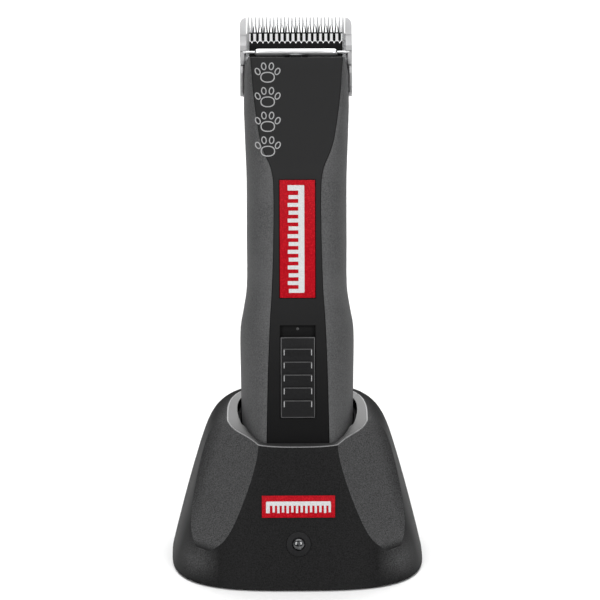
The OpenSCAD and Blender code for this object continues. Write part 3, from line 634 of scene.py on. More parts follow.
def cup_ring(share, grown, start):
    half = []
    for k in range(2 * ARC_STEPS + 1):
        top = rim_point(k, grown, LIP_DROP + 0.3)
        half.append(body_point(k, mix(start, top.z, share), grown))
    return whole_ring(half)


bm = bmesh.new()
cup_shares = [k / 8 for k in range(9)]
rings = pull(bm, [cup_ring(s, 1.9, CUP_FLOOR) for s in cup_shares]
             + [cup_ring(s, 0.6, -0.1) for s in reversed(cup_shares)])
close(bm, rings[0], rings[-1])
cup = carve(blank(bm),
            *[blank(rod((x, 0, -10), (x, 0, 10), PIN_HOLE)) for x in (-PIN_OFFSET, PIN_OFFSET)])
settle(cup, "clipper_cup", "stand", [cup_plastic], ["cradle_cup"], docked)

# ---------------------------------------------------------------- clipper housing
# Two moulded half shells of textured dark grey plastic meet in a fine seam along the sides.
# The front one has the channel for the centre panel, the rear one the hinge's recess.

SPLIT = 3                                # depth of the seam between the shells
SEAM = 0.07                              # half the gap that shows there
CAP_HEIGHT, NOSE_HEIGHT = 9, 196.2
SHELL_WALL = 2.4
PANEL_THICKNESS = 1.4
FAR = 60                                 # well outside the clipper
BLADE_DEPTH, BLADE_HEIGHT, BLADE_TILT = 8.5, 178.8, math.radians(20)
LEDGE_HEIGHT = BLADE_HEIGHT - 5.8
RECESS_START, RECESS_DEPTH, SEAT_GAP = 8.5, 3, 0.3
on_blade = Matrix.Translation((0, BLADE_DEPTH, BLADE_HEIGHT)) @ Matrix.Rotation(-BLADE_TILT, 4, "X")


def body_form(grown, low, high, blade_room=True):
    """The housing's outer form, grown, without the room that the blade takes."""
    steps = max(3, round((high - low) / 3))
    rows = [mix(low, high, k / steps) for k in range(steps + 1)]
    bm = bmesh.new()
    rings = pull(bm, [whole_ring([body_point(k, z, grown) for k in range(2 * ARC_STEPS + 1)])
                      for z in rows])
    form = blank(close(bm, rings[0], rings[-1]))
    if blade_room:
        seat = carve(blank(bar((-FAR, FAR), (-FAR, 2 * FAR), (LEDGE_HEIGHT + grown, 4 * FAR))),
                     blank(placed(bar((-FAR, FAR), (grown - SEAT_GAP, 2 * FAR), (-2 * FAR, 2 * FAR)),
                                  on_blade)), operation="INTERSECT")
        nose = blank(placed(bar((-FAR, FAR), (grown - RECESS_DEPTH, FAR),
                                (RECESS_START + grown, FAR)), on_blade))
        carve(form, seat, nose)
    return form


def panel_form(depth, clear, low, high, out=0.0, edge=0.0):
    """The strip of the front that the centre panel takes, with softened front edges."""
    steps = round((high - low) / 2.5)
    rings = []
    for k in range(steps + 1):
        z = mix(low, high, k / steps)
        side, face = body_size(z, 2) + clear, -body_size(z, 3)
        half = [(side - edge, face - out, z), (side, face - out + edge, z), (side, face + depth, z)]
        rings.append([(-x, y, z) for x, y, z in reversed(half)] + half)
    bm = bmesh.new()
    made = pull(bm, rings)
    return blank(close(bm, made[0], made[-1]))


BUTTON_HALF_WIDTH, BUTTON_LENGTH, BUTTON_FOOT, BUTTON_TRAVEL = 7.45, 35, 40.6, 4.8
WELL_FLOOR, PAD_BACK = -18.2, -16.2
WELL = [(-BUTTON_HALF_WIDTH - 0.3, BUTTON_HALF_WIDTH + 0.3),
        (BUTTON_FOOT - 0.3, BUTTON_FOOT + BUTTON_LENGTH + BUTTON_TRAVEL + 0.3)]
BOSSES = [(14, 88), (15.5, 152)]
BOSS_RADIUS, SCREW_HOLE, HEAD_HOLE = 3.8, 1.5, 2.9
HINGE_PLATE = (12, 13.6)                 # depth of the hinge plate's two faces
HINGE_FOOT = BLADE_HEIGHT - 21.7
HINGE_SCREWS = (BLADE_HEIGHT - 18.5, BLADE_HEIGHT - 10.5)
RELEASE_FOOT, RELEASE_TRAVEL = 144.4, 2.5

lever_way = placed(bar((-5.7, 5.7), (-5.4, 0.2), (5, 30)), on_blade)
nose_mouth = bar((-5, 5), (-3, 20), (NOSE_HEIGHT - 4, NOSE_HEIGHT + 5))
hollow = carve(body_form(0, CAP_HEIGHT + 0.15, NOSE_HEIGHT),
               body_form(-SHELL_WALL, CAP_HEIGHT - 3, NOSE_HEIGHT - SHELL_WALL),
               blank(lever_way), blank(nose_mouth))
other_half = hollow.copy()
other_half.data = hollow.data.copy()
bpy.context.scene.collection.objects.link(other_half)

front = carve(hollow, blank(bar((-FAR, FAR), (SPLIT - SEAM, FAR), (-10, 4 * FAR))))
pad = carve(body_form(-SHELL_WALL + 0.4, CAP_HEIGHT, 120, False),
            blank(bar((-10.5, 10.5), (-30, PAD_BACK), (37, 84))), operation="INTERSECT")
carve(front, pad, operation="UNION")
carve(front, panel_form(PANEL_THICKNESS, 0.05, CAP_HEIGHT - 1, NOSE_HEIGHT + 2, out=3),
      blank(bar(WELL[0], (-30, WELL_FLOOR), WELL[1])),
      blank(bar((-2.3, 2.3), (-30, 0), (53, 64))))
housing_plastic = moulded("housing_plastic", (0.08, 0.0805, 0.0815), 0.6, grain=0.6, depth=0.05,
                          **{"Specular IOR Level": 0.06})
well_plastic = moulded("well_black_plastic", (0.006, 0.006, 0.0062), 0.6,
                       **{"Specular IOR Level": 0.1})
# The floor of the switch's well is the face of the pad behind it
for face in front.data.polygons:
    x, y, z = face.center
    if abs(x) < 10.4 and -18.4 < y < -16 and 37 < z < 84:
        face.material_index = 1
settle(front, "housing_front", "clipper", [housing_plastic, well_plastic],
       ["front_shell"], docked)

rear = carve(other_half, blank(bar((-FAR, FAR), (-FAR, SPLIT + SEAM), (-10, 4 * FAR))))
seats = [carve(body_form(-0.4, 120, NOSE_HEIGHT - SHELL_WALL), blank(bar(*limits)),
               operation="INTERSECT")
         for limits in (((-13, 13), (9.2, 30), (154.5, LEDGE_HEIGHT)),
                        ((-9, 9), (11.6, 30), (140.8, 155)))]
for x, z in BOSSES:
    for side in (-x, x):
        boss = rod((side, 3.5, z), (side, 30, z), BOSS_RADIUS)
        seats.append(carve(body_form(-0.4, 60, 170), blank(boss), operation="INTERSECT"))
carve(rear, *seats, operation="UNION")
holes = [blank(bar((-11.3, 11.3), (HINGE_PLATE[0], 30), (HINGE_FOOT - 0.3, LEDGE_HEIGHT + 1))),
         blank(bar((-7.1, 7.1), (14.2, 30), (RELEASE_FOOT - RELEASE_TRAVEL - 0.3, HINGE_FOOT))),
         blank(bar((-2.8, 2.8), (HINGE_PLATE[1], 30), (147.1, LEDGE_HEIGHT)))]
for x, z in BOSSES:
    for side in (-x, x):
        holes += [blank(rod((side, 0, z), (side, 30, z), SCREW_HOLE)),
                  blank(rod((side, 10, z), (side, 30, z), HEAD_HOLE))]
for z in HINGE_SCREWS:
    holes += [blank(rod((side, 5, z), (side, 30, z), 1.25)) for side in (-7.5, 7.5)]
carve(rear, *holes)
settle(rear, "housing_rear", "clipper", [housing_plastic], ["rear_shell"], docked)

# ---------------------------------------------------------------- battery cap
# The foot of the clipper is the end cap of its battery, moulded in the same plastic with
# a rounded edge, and two shallow round seats underneath hold the charging contacts.

bm = bmesh.new()
cap_rows = [(0, -1.6), (0.2, -1.15), (0.6, -0.7), (1.2, -0.3), (2.2, 0), (5, 0),
            (CAP_HEIGHT - 0.25, 0), (CAP_HEIGHT, -0.2)]
rings = pull(bm, [whole_ring([body_point(k, z, grown) for k in range(2 * ARC_STEPS + 1)])
                  for z, grown in cap_rows])
cap = blank(close(bm, rings[0], rings[-1]))
carve(cap, body_form(-SHELL_WALL, 6.5, CAP_HEIGHT + 1, False),
      *[blank(rod((x, 0, -1), (x, 0, 0.8), 3.3)) for x in (-PIN_OFFSET, PIN_OFFSET)])
settle(cap, "battery_end_cap", "clipper", [housing_plastic], ["battery_cap"], docked)

# ---------------------------------------------------------------- centre panel
# A smooth satin black strip is clipped into the channel along the clipper's front.
# It has a window for the switch and a flat seat for the badge.

GRIP_BADGE = (92.5, 143.4)
BADGE_SEAT = -19
strip = panel_form(PANEL_THICKNESS, -0.09, CAP_HEIGHT + 0.15, NOSE_HEIGHT, edge=0.22)
carve(strip, blank(bar(WELL[0], (-30, 0), WELL[1])),
      blank(bar((-8, 8), (-30, BADGE_SEAT), (GRIP_BADGE[0] - 0.3, GRIP_BADGE[1] + 0.3))),
      blank(placed(bar((-FAR, FAR), (-RECESS_DEPTH, FAR), (RECESS_START, FAR)), on_blade)))


def panel_painted_shade(finish):
    """Painted shade: deep black at the foot, going lighter up the panel past the switch."""
    height = finish.axes()[2] + 0.008 * (finish.noise(9, 3) - 0.5)
    return finish.tint(finish.ramp(height, 0.055, 0.15), (0.004, 0.004, 0.0042),
                       (0.02, 0.02, 0.0204))


panel_plastic = moulded("panel_satin_plastic", (0.014, 0.014, 0.0143), 0.5, grain=0.4, depth=0.012,
                        speckle=0, tone=panel_painted_shade, **{"Specular IOR Level": 0.07})
settle(strip, "centre_strip", "clipper", [panel_plastic], ["front_panel"], docked)

# ---------------------------------------------------------------- badges
# Both badges are red foil plates with a fine sparkle, glued into their seats. Each has a
# plain comb printed on it in white ink, and the head has a row of paw prints in grey outline.


def plate(x, y, z, edge=0.2):
    return round_edges(bar(x, y, z), edge, angle=60)


def comb_print(length, height, teeth, depth=0.06):
    """A flat comb, lying along X with its teeth down, as thick as a print."""
    spine = height * 0.36
    pitch = (length - spine) / teeth
    across_points = [(-length / 2 + 0.3, height / 2), (length / 2 - 0.3, height / 2),
                     (length / 2, height / 2 - 0.4)]
    for i in range(teeth):
        right = length / 2 - i * pitch
        tip = -height / 2 + (0 if i % 2 else height * 0.06)
        across_points += [(right, tip), (right - pitch * 0.5, tip),
                          (right - pitch * 0.5, height / 2 - spine)]
        if i < teeth - 1:
            across_points.append((right - pitch, height / 2 - spine))
    end = -length / 2
    across_points += [(end + spine * 0.9, height / 2 - spine), (end + spine * 0.9, -height / 2),
                      (end, -height / 2), (end, height / 2 - 0.4)]
    return prism(across_points, 0, -depth, along=1)


badge_foil = Finish("badge_red_foil", (0.4, 0.001, 0.008), 0.5, **{"Specular IOR Level": 0.08})
flakes = badge_foil.node("ShaderNodeTexVoronoi", {"feature": "F1"},
                         {"Vector": badge_foil.place, "Scale": 2600.0}, output="Color")
flake_light = badge_foil.node("ShaderNodeSeparateColor", {}, {0: flakes})
badge_foil.show(**{"Base Color": badge_foil.tint(badge_foil.ramp(flake_light, 0.55, 1),
                                                 (0.34, 0.0, 0.006), (0.5, 0.006, 0.014))},
                Roughness=badge_foil.ramp(flake_light, 0, 1, 0.4, 0.55))
badge_foil.relief(badge_foil.noise(0.5, 2), 0.01)
white_ink = Finish("white_ink", (0.7, 0.7, 0.71), 0.5, **{"Specular IOR Level": 0.2})
ink_cloud = white_ink.noise(0.35, 3)
white_ink.show(**{"Base Color": white_ink.tint(white_ink.ramp(ink_cloud, 0.35, 0.65),
                                               (0.5, 0.5, 0.51), (0.64, 0.64, 0.64))},
               Roughness=0.45 + (ink_cloud - 0.5) * 0.2)
white_ink.relief(ink_cloud, 0.008)

badge_face = BADGE_SEAT - 1
settle(blank(plate((-7.65, 7.65), (badge_face, BADGE_SEAT), GRIP_BADGE)), "grip_badge_plate",
       "clipper", [badge_foil], ["grip_badge"], docked)
badge_middle = (GRIP_BADGE[0] + GRIP_BADGE[1]) / 2
along_grip = (Matrix.Translation((-0.6, badge_face, badge_middle))
              @ Matrix.Rotation(math.radians(90), 4, "Y"))
settle(blank(comb_print(46.5, 7.2, 13)), "grip_badge_comb", "clipper", [white_ink], [],
       docked @ along_grip)
stand_plate = plate((-BADGE_HALF_WIDTH, BADGE_HALF_WIDTH), (-0.1, 0.35),
                    (-BADGE_HALF_HEIGHT, BADGE_HALF_HEIGHT), 0.08)
settle(blank(stand_plate), "stand_badge_plate", "stand", [badge_foil], ["stand_badge"],
       on_front(BADGE_HEIGHT))
settle(blank(comb_print(28, 5, 13)), "stand_badge_comb", "stand", [white_ink], [],
       on_front(BADGE_HEIGHT) @ Matrix.Translation((0, -0.1, -0.3)))

PAW_LINE = 0.46


def outline(centre, half_width, half_height, turn=0.0, square=2.0):
    """A flat oval ring, as its inner and outer outline."""
    rings = []
    for grown in (-PAW_LINE / 2, PAW_LINE / 2):
        ring = []
        for k in range(40):
            a = 2 * math.pi * k / 40
            x = (half_width + grown) * power(math.cos(a), square)
            z = (half_height + grown) * power(math.sin(a), square)
            ring.append((centre[0] + x * math.cos(turn) - z * math.sin(turn),
                         centre[1] + x * math.sin(turn) + z * math.cos(turn)))
        rings.append(ring)
    return rings


bm = bmesh.new()
PAW_COLUMN, PAW_TOP, PAW_PITCH = -12.6, 190.2, 10.6
for i in range(4):
    base = PAW_TOP - i * PAW_PITCH
    ovals = [outline((PAW_COLUMN, base - 2.6), 2.9, 2.1, 0, 2.3)]
    for x, z, turn in ((-4.3, -0.1, 0.5), (-1.65, 2.1, 0.15), (1.65, 2.1, -0.15), (4.3, -0.1, -0.5)):
        ovals.append(outline((PAW_COLUMN + x, base + z), 0.95, 1.45, turn))
    for inner, outer in ovals:
        back = [[(x, 0.02 - body_size(z, 3), z) for x, z in ring] for ring in (inner, outer)]
        face = [[(x, -0.05 - body_size(z, 3), z) for x, z in ring] for ring in (inner, outer)]
        pull(bm, [back[0], face[0], face[1], back[1], back[0]])
bmesh.ops.remove_doubles(bm, verts=bm.verts, dist=0.0005)
bmesh.ops.recalc_face_normals(bm, faces=bm.faces)
grey_ink = moulded("grey_ink", (0.3, 0.3, 0.305), 0.5, speckle=0.1)
settle(blank(bm), "paw_prints", "clipper", [grey_ink], [], docked, crease=50)

# ---------------------------------------------------------------- switch
# The on and off slide is a soft black button with a painted highlight on its rounded rim and
# five wedge-shaped thumb ridges. It runs in a well in the housing, over a small detent stud.

BUTTON_FACE = -21.4
RIDGE_PITCH, RIDGE_WIDTH, RIDGE_LENGTH, RIDGE_RISE = 5.6, 12.2, 3.2, 0.75
button = bar((-BUTTON_HALF_WIDTH, BUTTON_HALF_WIDTH), (BUTTON_FACE, WELL_FLOOR - 0.1),
             (BUTTON_FOOT, BUTTON_FOOT + BUTTON_LENGTH))
front_rim = [e for e in button.edges if all(v.co.y < BUTTON_FACE + 0.1 for v in e.verts)]
round_edges(button, 0.42, front_rim, painted_highlight=1)
round_edges(button, 0.3, [e for e in button.edges if e.calc_face_angle(0) > 1.2
                          and abs(e.verts[0].co.y - e.verts[1].co.y) > 1])


def side_profile(points, low, high):
    """A solid with the given outline of (along, depth) points, between two widths."""
    return prism([(y, z) for z, y in points], low, high)


for i in range(5):
    low = BUTTON_FOOT + 4.4 + i * RIDGE_PITCH
    top = low + RIDGE_LENGTH
    half = RIDGE_WIDTH / 2
    add(button, side_profile([(low - 0.4, BUTTON_FACE + 0.1), (top, BUTTON_FACE + 0.1),
                              (top, BUTTON_FACE - RIDGE_RISE), (low, BUTTON_FACE)], -half, half))
    # Each ridge's crest and two ends get thin lighter strips: painted highlights
    for start, left, right, painted_highlight in ((RIDGE_LENGTH - 0.36, -half, half, 1),
                                     (0.3, -half, -half + 0.36, 2), (0.3, half - 0.36, half, 2)):
        first = BUTTON_FACE - RIDGE_RISE * start / RIDGE_LENGTH
        last = BUTTON_FACE - RIDGE_RISE
        highlight_strip = side_profile([(low + start, first + 0.1), (top + 0.03, last + 0.1),
                               (top + 0.03, last - 0.03), (low + start, first - 0.03)],
                              left - 0.02, right + 0.02)
        add(button, highlight_strip, painted_highlight)
soft_black = moulded("button_soft_black", (0.0085, 0.0085, 0.009), 0.55, grain=0.5, depth=0.02,
                     **{"Specular IOR Level": 0.12})
soft_grey_and_highlight = moulded("button_grey_and_painted_highlight", (0.045, 0.045, 0.046), 0.45, grain=0.6, depth=0.01)
soft_painted_highlight = moulded("button_painted_highlight", (0.3, 0.3, 0.305), 0.4, grain=0.6, depth=0.01)
settle(blank(button), "thumb_slide", "switch", [soft_black, soft_grey_and_highlight, soft_painted_highlight],
       ["switch_button"], docked)

stud_height = BUTTON_FOOT + BUTTON_LENGTH + 3.4
stud = rod((0, WELL_FLOOR + 0.3, stud_height), (0, WELL_FLOOR - 0.07, stud_height), 0.75, 0.6, 32)
settle(blank(round_edges(stud, 0.05, angle=40)), "detent_stud", "clipper", [soft_grey_and_highlight],
       [], docked)

# ---------------------------------------------------------------- comb
# The comb is a hardened steel plate with 27 pointed teeth. Its ends turn up into two matt
# cheeks that carry the tension rod, with a small inset block and a tail below each.

COMB_THICKNESS = 2.6
COMB_ROOT, COMB_TIP = 29.3, 37.2
COMB_PITCH, COMB_TEETH = 1.6, 27
CHEEK_IN, CHEEK_OUT = 21.8, 24.5
blade_place = docked @ on_blade


def comb_tooth(x):
    """One tooth: wide at its root, drawn to a point, thinner towards the tip."""
    bm = bmesh.new()
    rings = []
    for z, half, back in ((COMB_ROOT - 0.6, 0.54, 1.25), (COMB_ROOT + 2.2, 0.46, 1.2),
                          (COMB_TIP - 2.4, 0.32, 0.95), (COMB_TIP - 0.7, 0.2, 0.7),
                          (COMB_TIP, 0.07, 0.45)):
        rings.append([(x - half, 0.05, z), (x + half, 0.05, z), (x + half * 0.8, back, z),
                      (x - half * 0.8, back, z)])
    loops = pull(bm, rings)
    close(bm, loops[0], loops[-1])
    return round_edges(bm, 0.06, angle=50, segments=1)


plate_profile = [(0, 0), (COMB_ROOT, 0), (COMB_ROOT, 1.3), (24, COMB_THICKNESS), (0, COMB_THICKNESS)]
comb = blank(side_profile(plate_profile, -CHEEK_IN - 0.2, CHEEK_IN + 0.2))
CHEEK_LEVEL = COMB_THICKNESS - 0.05
CHEEK_SIDE = [(19.6, COMB_THICKNESS), (19.6, -4.9), (22, -5), (24.5, -3.6), (31, -2.2),
              (35.6, -0.4), (COMB_TIP, 0.5), (36.4, 1.3), (30, COMB_THICKNESS)]
CORNER_WIDTH, CORNER_HEIGHT = 3.4, 4.42
cheek_front = [(CHEEK_IN - 1, 10), (CHEEK_OUT, 10)]
for k in range(9):
    a = math.pi / 2 * k / 8
    cheek_front.append((CHEEK_OUT - CORNER_WIDTH * (1 - math.cos(a)),
                        COMB_TIP - CORNER_HEIGHT * (1 - math.sin(a))))
cheek_front.append((CHEEK_IN - 1, COMB_TIP))


def cheek_part(side, points, inner, outer):
    """A piece of one cheek from its side outline, between two distances from the middle."""
    low, high = sorted((side * inner, side * outer))
    return side_profile(points, low, high)


comb_parts = []
for side in (-1, 1):
    silhouette = prism([(side * x, z) for x, z in cheek_front], -8, 8, along=1)
    cheek = carve(blank(cheek_part(side, CHEEK_SIDE, CHEEK_IN, CHEEK_OUT)), blank(silhouette),
                  operation="INTERSECT")
    step = cheek_part(side, [(27.4, -8), (27.7, -8), (27.7, 3), (27.4, 3)],
                      CHEEK_OUT - 0.12, CHEEK_OUT + 1)
    face_step = cheek_part(side, [(27.4, -8), (27.7, -8), (27.7, -2.75), (27.4, -2.8)],
                           CHEEK_IN - 1, CHEEK_OUT + 1)
    block = cheek_part(side, [(13.3, COMB_THICKNESS - 0.1), (13.3, -4.5), (19.4, -4.8),
                              (19.4, COMB_THICKNESS - 0.1)], CHEEK_IN + 0.8, CHEEK_OUT - 0.1)
    tail = cheek_part(side, [(1, CHEEK_LEVEL), (1, -3.5), (3, -5.6), (9, -6), (13.1, -4.2),
                             (13.1, CHEEK_LEVEL)], CHEEK_IN + 1.3, CHEEK_OUT - 0.05)
    root = cheek_part(side, [(1, 0.05), (19.7, 0.05), (19.7, CHEEK_LEVEL), (1, CHEEK_LEVEL)],
                      CHEEK_IN - 0.3, CHEEK_IN + 1.6)
    comb_parts += [carve(cheek, blank(step), blank(face_step)), blank(round_edges(block, 0.25)),
                   blank(round_edges(tail, 0.3)), blank(root)]
carve(comb, *comb_parts, operation="UNION")
comb_holes = [blank(rod((x, -1, 12.4), (x, 5, 12.4), 1.25)) for x in (-10, 10)]
comb_holes += [blank(rod((x, -1, 8), (x, 5, 8), 1.0)) for x in (-3.6, 3.6)]
carve(comb, *comb_holes)
bm = reopen(comb)
for face in bm.faces:
    face.material_index = 1 if abs(face.calc_center_median().x) > CHEEK_IN - 0.05 else 0
for i in range(COMB_TEETH):
    add(bm, comb_tooth((i - (COMB_TEETH - 1) / 2) * COMB_PITCH))
comb_steel = metal("comb_ground_steel", (0.86, 0.87, 0.88), 0.3, along=(0.3, 3, 3), line=0.3)
cheek_steel = metal("cheek_blasted_steel", (0.4, 0.4, 0.405), 0.6, line=0.4, depth=0.02)
settle(blank(bm), "comb", "blade", [comb_steel, cheek_steel], ["comb_blade"],
       blade_place, crease=25)

# ---------------------------------------------------------------- cutter
# The cutter slides across the comb. Its body is blackened steel, and its teeth are ground
# bright on top, with chamfered tips in front of a cross groove and narrow slots between.
# The chamfers, the groove and the slot floors are near black as painted shade, and the
# bright rims where the slots run out are painted highlights.

CUTTER_REAR, CUTTER_ROOT, CUTTER_TIP = 15, 25.2, 33.6
CUTTER_HALF_WIDTH, CUTTER_THICKNESS = 20.4, 2.4
CUTTER_PITCH, CUTTER_SLOTS = 2.4, 17
GROOVE = (28.7, 29.4)
SLOT_HALF = 0.6


def cutter_tooth(low_x, high_x):
    """A flat ground shank, a cross groove, and a chamfered tip drawn to a point."""
    middle = (low_x + high_x) / 2
    half = (high_x - low_x) / 2
    spread = 1.8 if half > 0.5 else 1.0      # the two outer teeth are narrow and stay so
    bm = bmesh.new()
    rings = []
    for z, share, top, flat in (
            (CUTTER_ROOT - 0.4, 1, -1.66, 1), (CUTTER_ROOT + 0.7, 1, -1.66, 0.98),
            (GROOVE[0], 1, -1.62, 0.98), (GROOVE[0] + 0.1, 1, -1.0, 0.98),
            (GROOVE[1] - 0.1, 0.8 * spread, -1.0, 0.9), (GROOVE[1], spread, -1.5, 0.36),
            (CUTTER_TIP - 2, 0.66 * spread, -1.25, 0.3), (CUTTER_TIP, 0.2, -0.7, 0.3)):
        w = half * share
        edge = top * 0.55 if flat < 0.9 else top + 0.1
        rings.append([(middle - w, -0.06, z), (middle - w, edge, z), (middle - w * flat, top, z),
                      (middle + w * flat, top, z), (middle + w, edge, z), (middle + w, -0.06, z)])
    loops = pull(bm, rings)
    close(bm, loops[0], loops[-1])
    # The chamfers and the groove keep the near-black finish as painted shade; flat faces are bright
    for face in bm.faces:
        centre, normal = face.calc_center_median(), face.normal
        if normal.y < -0.8 and (centre.z < GROOVE[0] or centre.z > GROOVE[1]):
            face.material_index = 1
    return bm


cutter_profile = [(CUTTER_REAR, -CUTTER_THICKNESS), (22.3, -CUTTER_THICKNESS), (22.9, -2.25),
                  (CUTTER_ROOT, -1.7), (CUTTER_ROOT, -0.05), (CUTTER_REAR, -0.05)]
bm = side_profile(cutter_profile, -CUTTER_HALF_WIDTH, CUTTER_HALF_WIDTH)
cutter = carve(blank(round_edges(bm, 0.15, angle=40)),
               blank(bar((-2.65, 2.65), (-5, 1), (CUTTER_REAR - 1, 19.2))))
bm = reopen(cutter)
slots = [(i - (CUTTER_SLOTS - 1) / 2) * CUTTER_PITCH for i in range(CUTTER_SLOTS)]
edges_x = [-CUTTER_HALF_WIDTH - SLOT_HALF] + slots + [CUTTER_HALF_WIDTH + SLOT_HALF]
for left, right in zip(edges_x, edges_x[1:]):
    add(bm, cutter_tooth(left + SLOT_HALF, right - SLOT_HALF))
# A near-black bar fills the cross groove: painted shade for its dark line
add(bm, bar((-CUTTER_HALF_WIDTH, CUTTER_HALF_WIDTH), (-1.15, -0.1),
            (GROOVE[0] + 0.02, GROOVE[1])))
for x in slots:
    # Each slot has a near-black floor, painted shade, and runs out in a bright rim, a painted
    # highlight, around a dark point
    add(bm, bar((x - SLOT_HALF - 0.02, x + SLOT_HALF + 0.02), (-1.1, -0.1),
                (CUTTER_ROOT - 0.1, GROOVE[0] - 0.05)))
    for half, point, lift_off, mark in ((0.62, 1.35, 0, 1), (0.42, 0.85, 0.04, 0)):
        chip = bmesh.new()
        z = CUTTER_ROOT + 0.12
        loops = pull(chip, [[(x - half, -1.74 - lift_off, z), (x + half, -1.74 - lift_off, z),
                             (x, -2.05 - lift_off, z - point)],
                            [(x - half * 0.7, -1.5, z), (x + half * 0.7, -1.5, z),
                             (x, -1.7, z - point * 0.6)]])
        add(bm, close(chip, loops[0], loops[1]), mark)
cutter_black_and_shade = moulded("cutter_black_steel_and_painted_shade", (0.004, 0.004, 0.0042), 0.5, depth=0.004,
                       **{"Specular IOR Level": 0.05})
cutter_ground_and_highlight = metal("cutter_ground_steel_and_painted_highlight", (0.95, 0.95, 0.96), 0.35, along=(3, 3, 0.3), line=0.3)
settle(blank(bm), "cutter", "cutter", [cutter_black_and_shade, cutter_ground_and_highlight], ["cutter_blade"],
       blade_place, crease=25)

# ---------------------------------------------------------------- tension bar
# A polished steel rod crosses between the cheeks with a thick rounded sleeve on it, and
# two small feet press the cutter down on the comb.

BAR_DEPTH, BAR_ALONG = -4.2, 19.1
half_outline = [(CHEEK_IN + 1.5, 0.0), (CHEEK_IN + 1.5, 0.6), (18.1, 0.6), (17.9, 1.1),
                (17.3, 1.46), (16.5, 1.58), (8, 1.58), (0, 1.58)]
bar_outline = half_outline + [(-x, r) for x, r in reversed(half_outline[:-1])]
bar_shape = turned([(x, 0, r) for x, r in bar_outline], (1, 0, 0), 40)
for low, high in ((-15, -12), (12, 15)):
    add(bar_shape, round_edges(bar((low, high), (0.6, -BAR_DEPTH - CUTTER_THICKNESS - 0.1),
                                   (-0.5, 0.5)), 0.1, angle=60))
placed(bar_shape, Matrix.Translation((0, BAR_DEPTH, BAR_ALONG)))
bar_steel = metal("bar_polished_steel", (0.93, 0.935, 0.94), 0.34, along=(3, 0.3, 0.3), line=0.4,
                  depth=0.002)
settle(blank(bar_shape), "tension_rod", "blade", [bar_steel], ["tension_bar"],
       blade_place, crease=40)

# ---------------------------------------------------------------- lamp
# The charging lamp is a clear domed lens in a black ring, let into the stand's front.

ring_outline = [(2.72, 0.45), (2.72, -0.12), (2.95, -0.3), (3.3, -0.3), (5.1, -0.12), (5.3, 0.05),
                (5.3, 0.45)]
ring_shape = turned([(r, y, 0) for r, y in ring_outline], (0, 1, 0), 72, ring=True)
ring_plastic = moulded("lamp_ring_plastic", (0.0085, 0.0085, 0.009), 0.5, grain=0.6, depth=0.01,
                        **{"Specular IOR Level": 0.15})
settle(blank(ring_shape), "lamp_ring", "stand", [ring_plastic], ["indicator_bezel"],
       on_front(LAMP_HEIGHT))

lens_outline = [(0, 9), (2.45, 9), (2.45, -0.3), (2.3, -0.62), (1.95, -0.92), (1.4, -1.15),
                (0.75, -1.27), (0, -1.3)]
lens_shape = turned([(r, y, 0) for r, y in lens_outline], (0, 1, 0), 48)
lens_plastic = Finish("lamp_lens", (0.05, 0.052, 0.055), 0.08,
                      **{"Coat Weight": 1.0, "Coat Roughness": 0.03})
lens_depth = lens_plastic.noise(1.6, 2)
lens_plastic.show(**{"Base Color": lens_plastic.tint(lens_plastic.ramp(lens_depth, 0.4, 0.6),
                                                     (0.008, 0.008, 0.009), (0.07, 0.072, 0.075))},
                  Roughness=0.06 + lens_depth * 0.08)
settle(blank(lens_shape), "lamp_lens_dome", "stand", [lens_plastic], ["indicator_lens"],
       on_front(LAMP_HEIGHT), crease=50)

# ---------------------------------------------------------------- hardware
# Small plated and moulded parts keep their engineering shape, with their edges rounded.


def softened(node, name, body_name, width, finish, crease=35):
    """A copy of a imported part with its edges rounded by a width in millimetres."""
    bm = bmesh.new()
    bm.from_mesh(frame["nodes"][node].data)
    bmesh.ops.scale(bm, vec=(1000, 1000, 1000), verts=bm.verts)
    bmesh.ops.remove_doubles(bm, verts=bm.verts, dist=0.001)
    bmesh.ops.dissolve_limit(bm, angle_limit=math.radians(0.6), verts=bm.verts, edges=bm.edges)
    round_edges(bm, width, angle=crease)
    return settle(blank(bm), name, body_name, [finish], [node])


black_plastic = moulded("moulded_black", (0.008, 0.008, 0.0085), 0.45, grain=0.7, depth=0.02)
plated = metal("zinc_plated_steel", (0.68, 0.69, 0.7), 0.34, line=0.5, depth=0.004)
screw_steel = metal("screw_steel", (0.5, 0.505, 0.52), 0.3, line=0.4, depth=0.004)
rubber = moulded("foot_rubber", (0.012, 0.012, 0.012), 0.8, grain=0.9, depth=0.03)
for node, piece, body_name, width, finish, slot in (
        ("release_button", "release_slide", "release", 0.3, black_plastic, "black_plastic"),
        ("hinge_base", "hinge_bracket", "clipper", 0.2, plated, "plated_steel"),
        ("blade_socket", "blade_hinge_socket", "blade", 0.15, plated, "plated_steel"),
        ("latch_strip", "latch_bar", "release", 0.12, plated, "spring_steel"),
        ("power_socket", "inlet_socket", "stand", 0.2, black_plastic, "black_plastic"),
        ("stand_feet", "rubber_feet", "stand", 0.3, rubber, "rubber"),
        ("stand_base", "stand_underside", "stand", 0.3, black_plastic, "black_plastic"),
        ("cutter_guides", "cutter_guide_blocks", "blade", 0.15, black_plastic, "black_plastic")):
    softened(node, piece, body_name, width, finish)

# ---------------------------------------------------------------- inner parts
# The motor, drive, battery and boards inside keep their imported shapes. Each takes the
# finish of its own material.

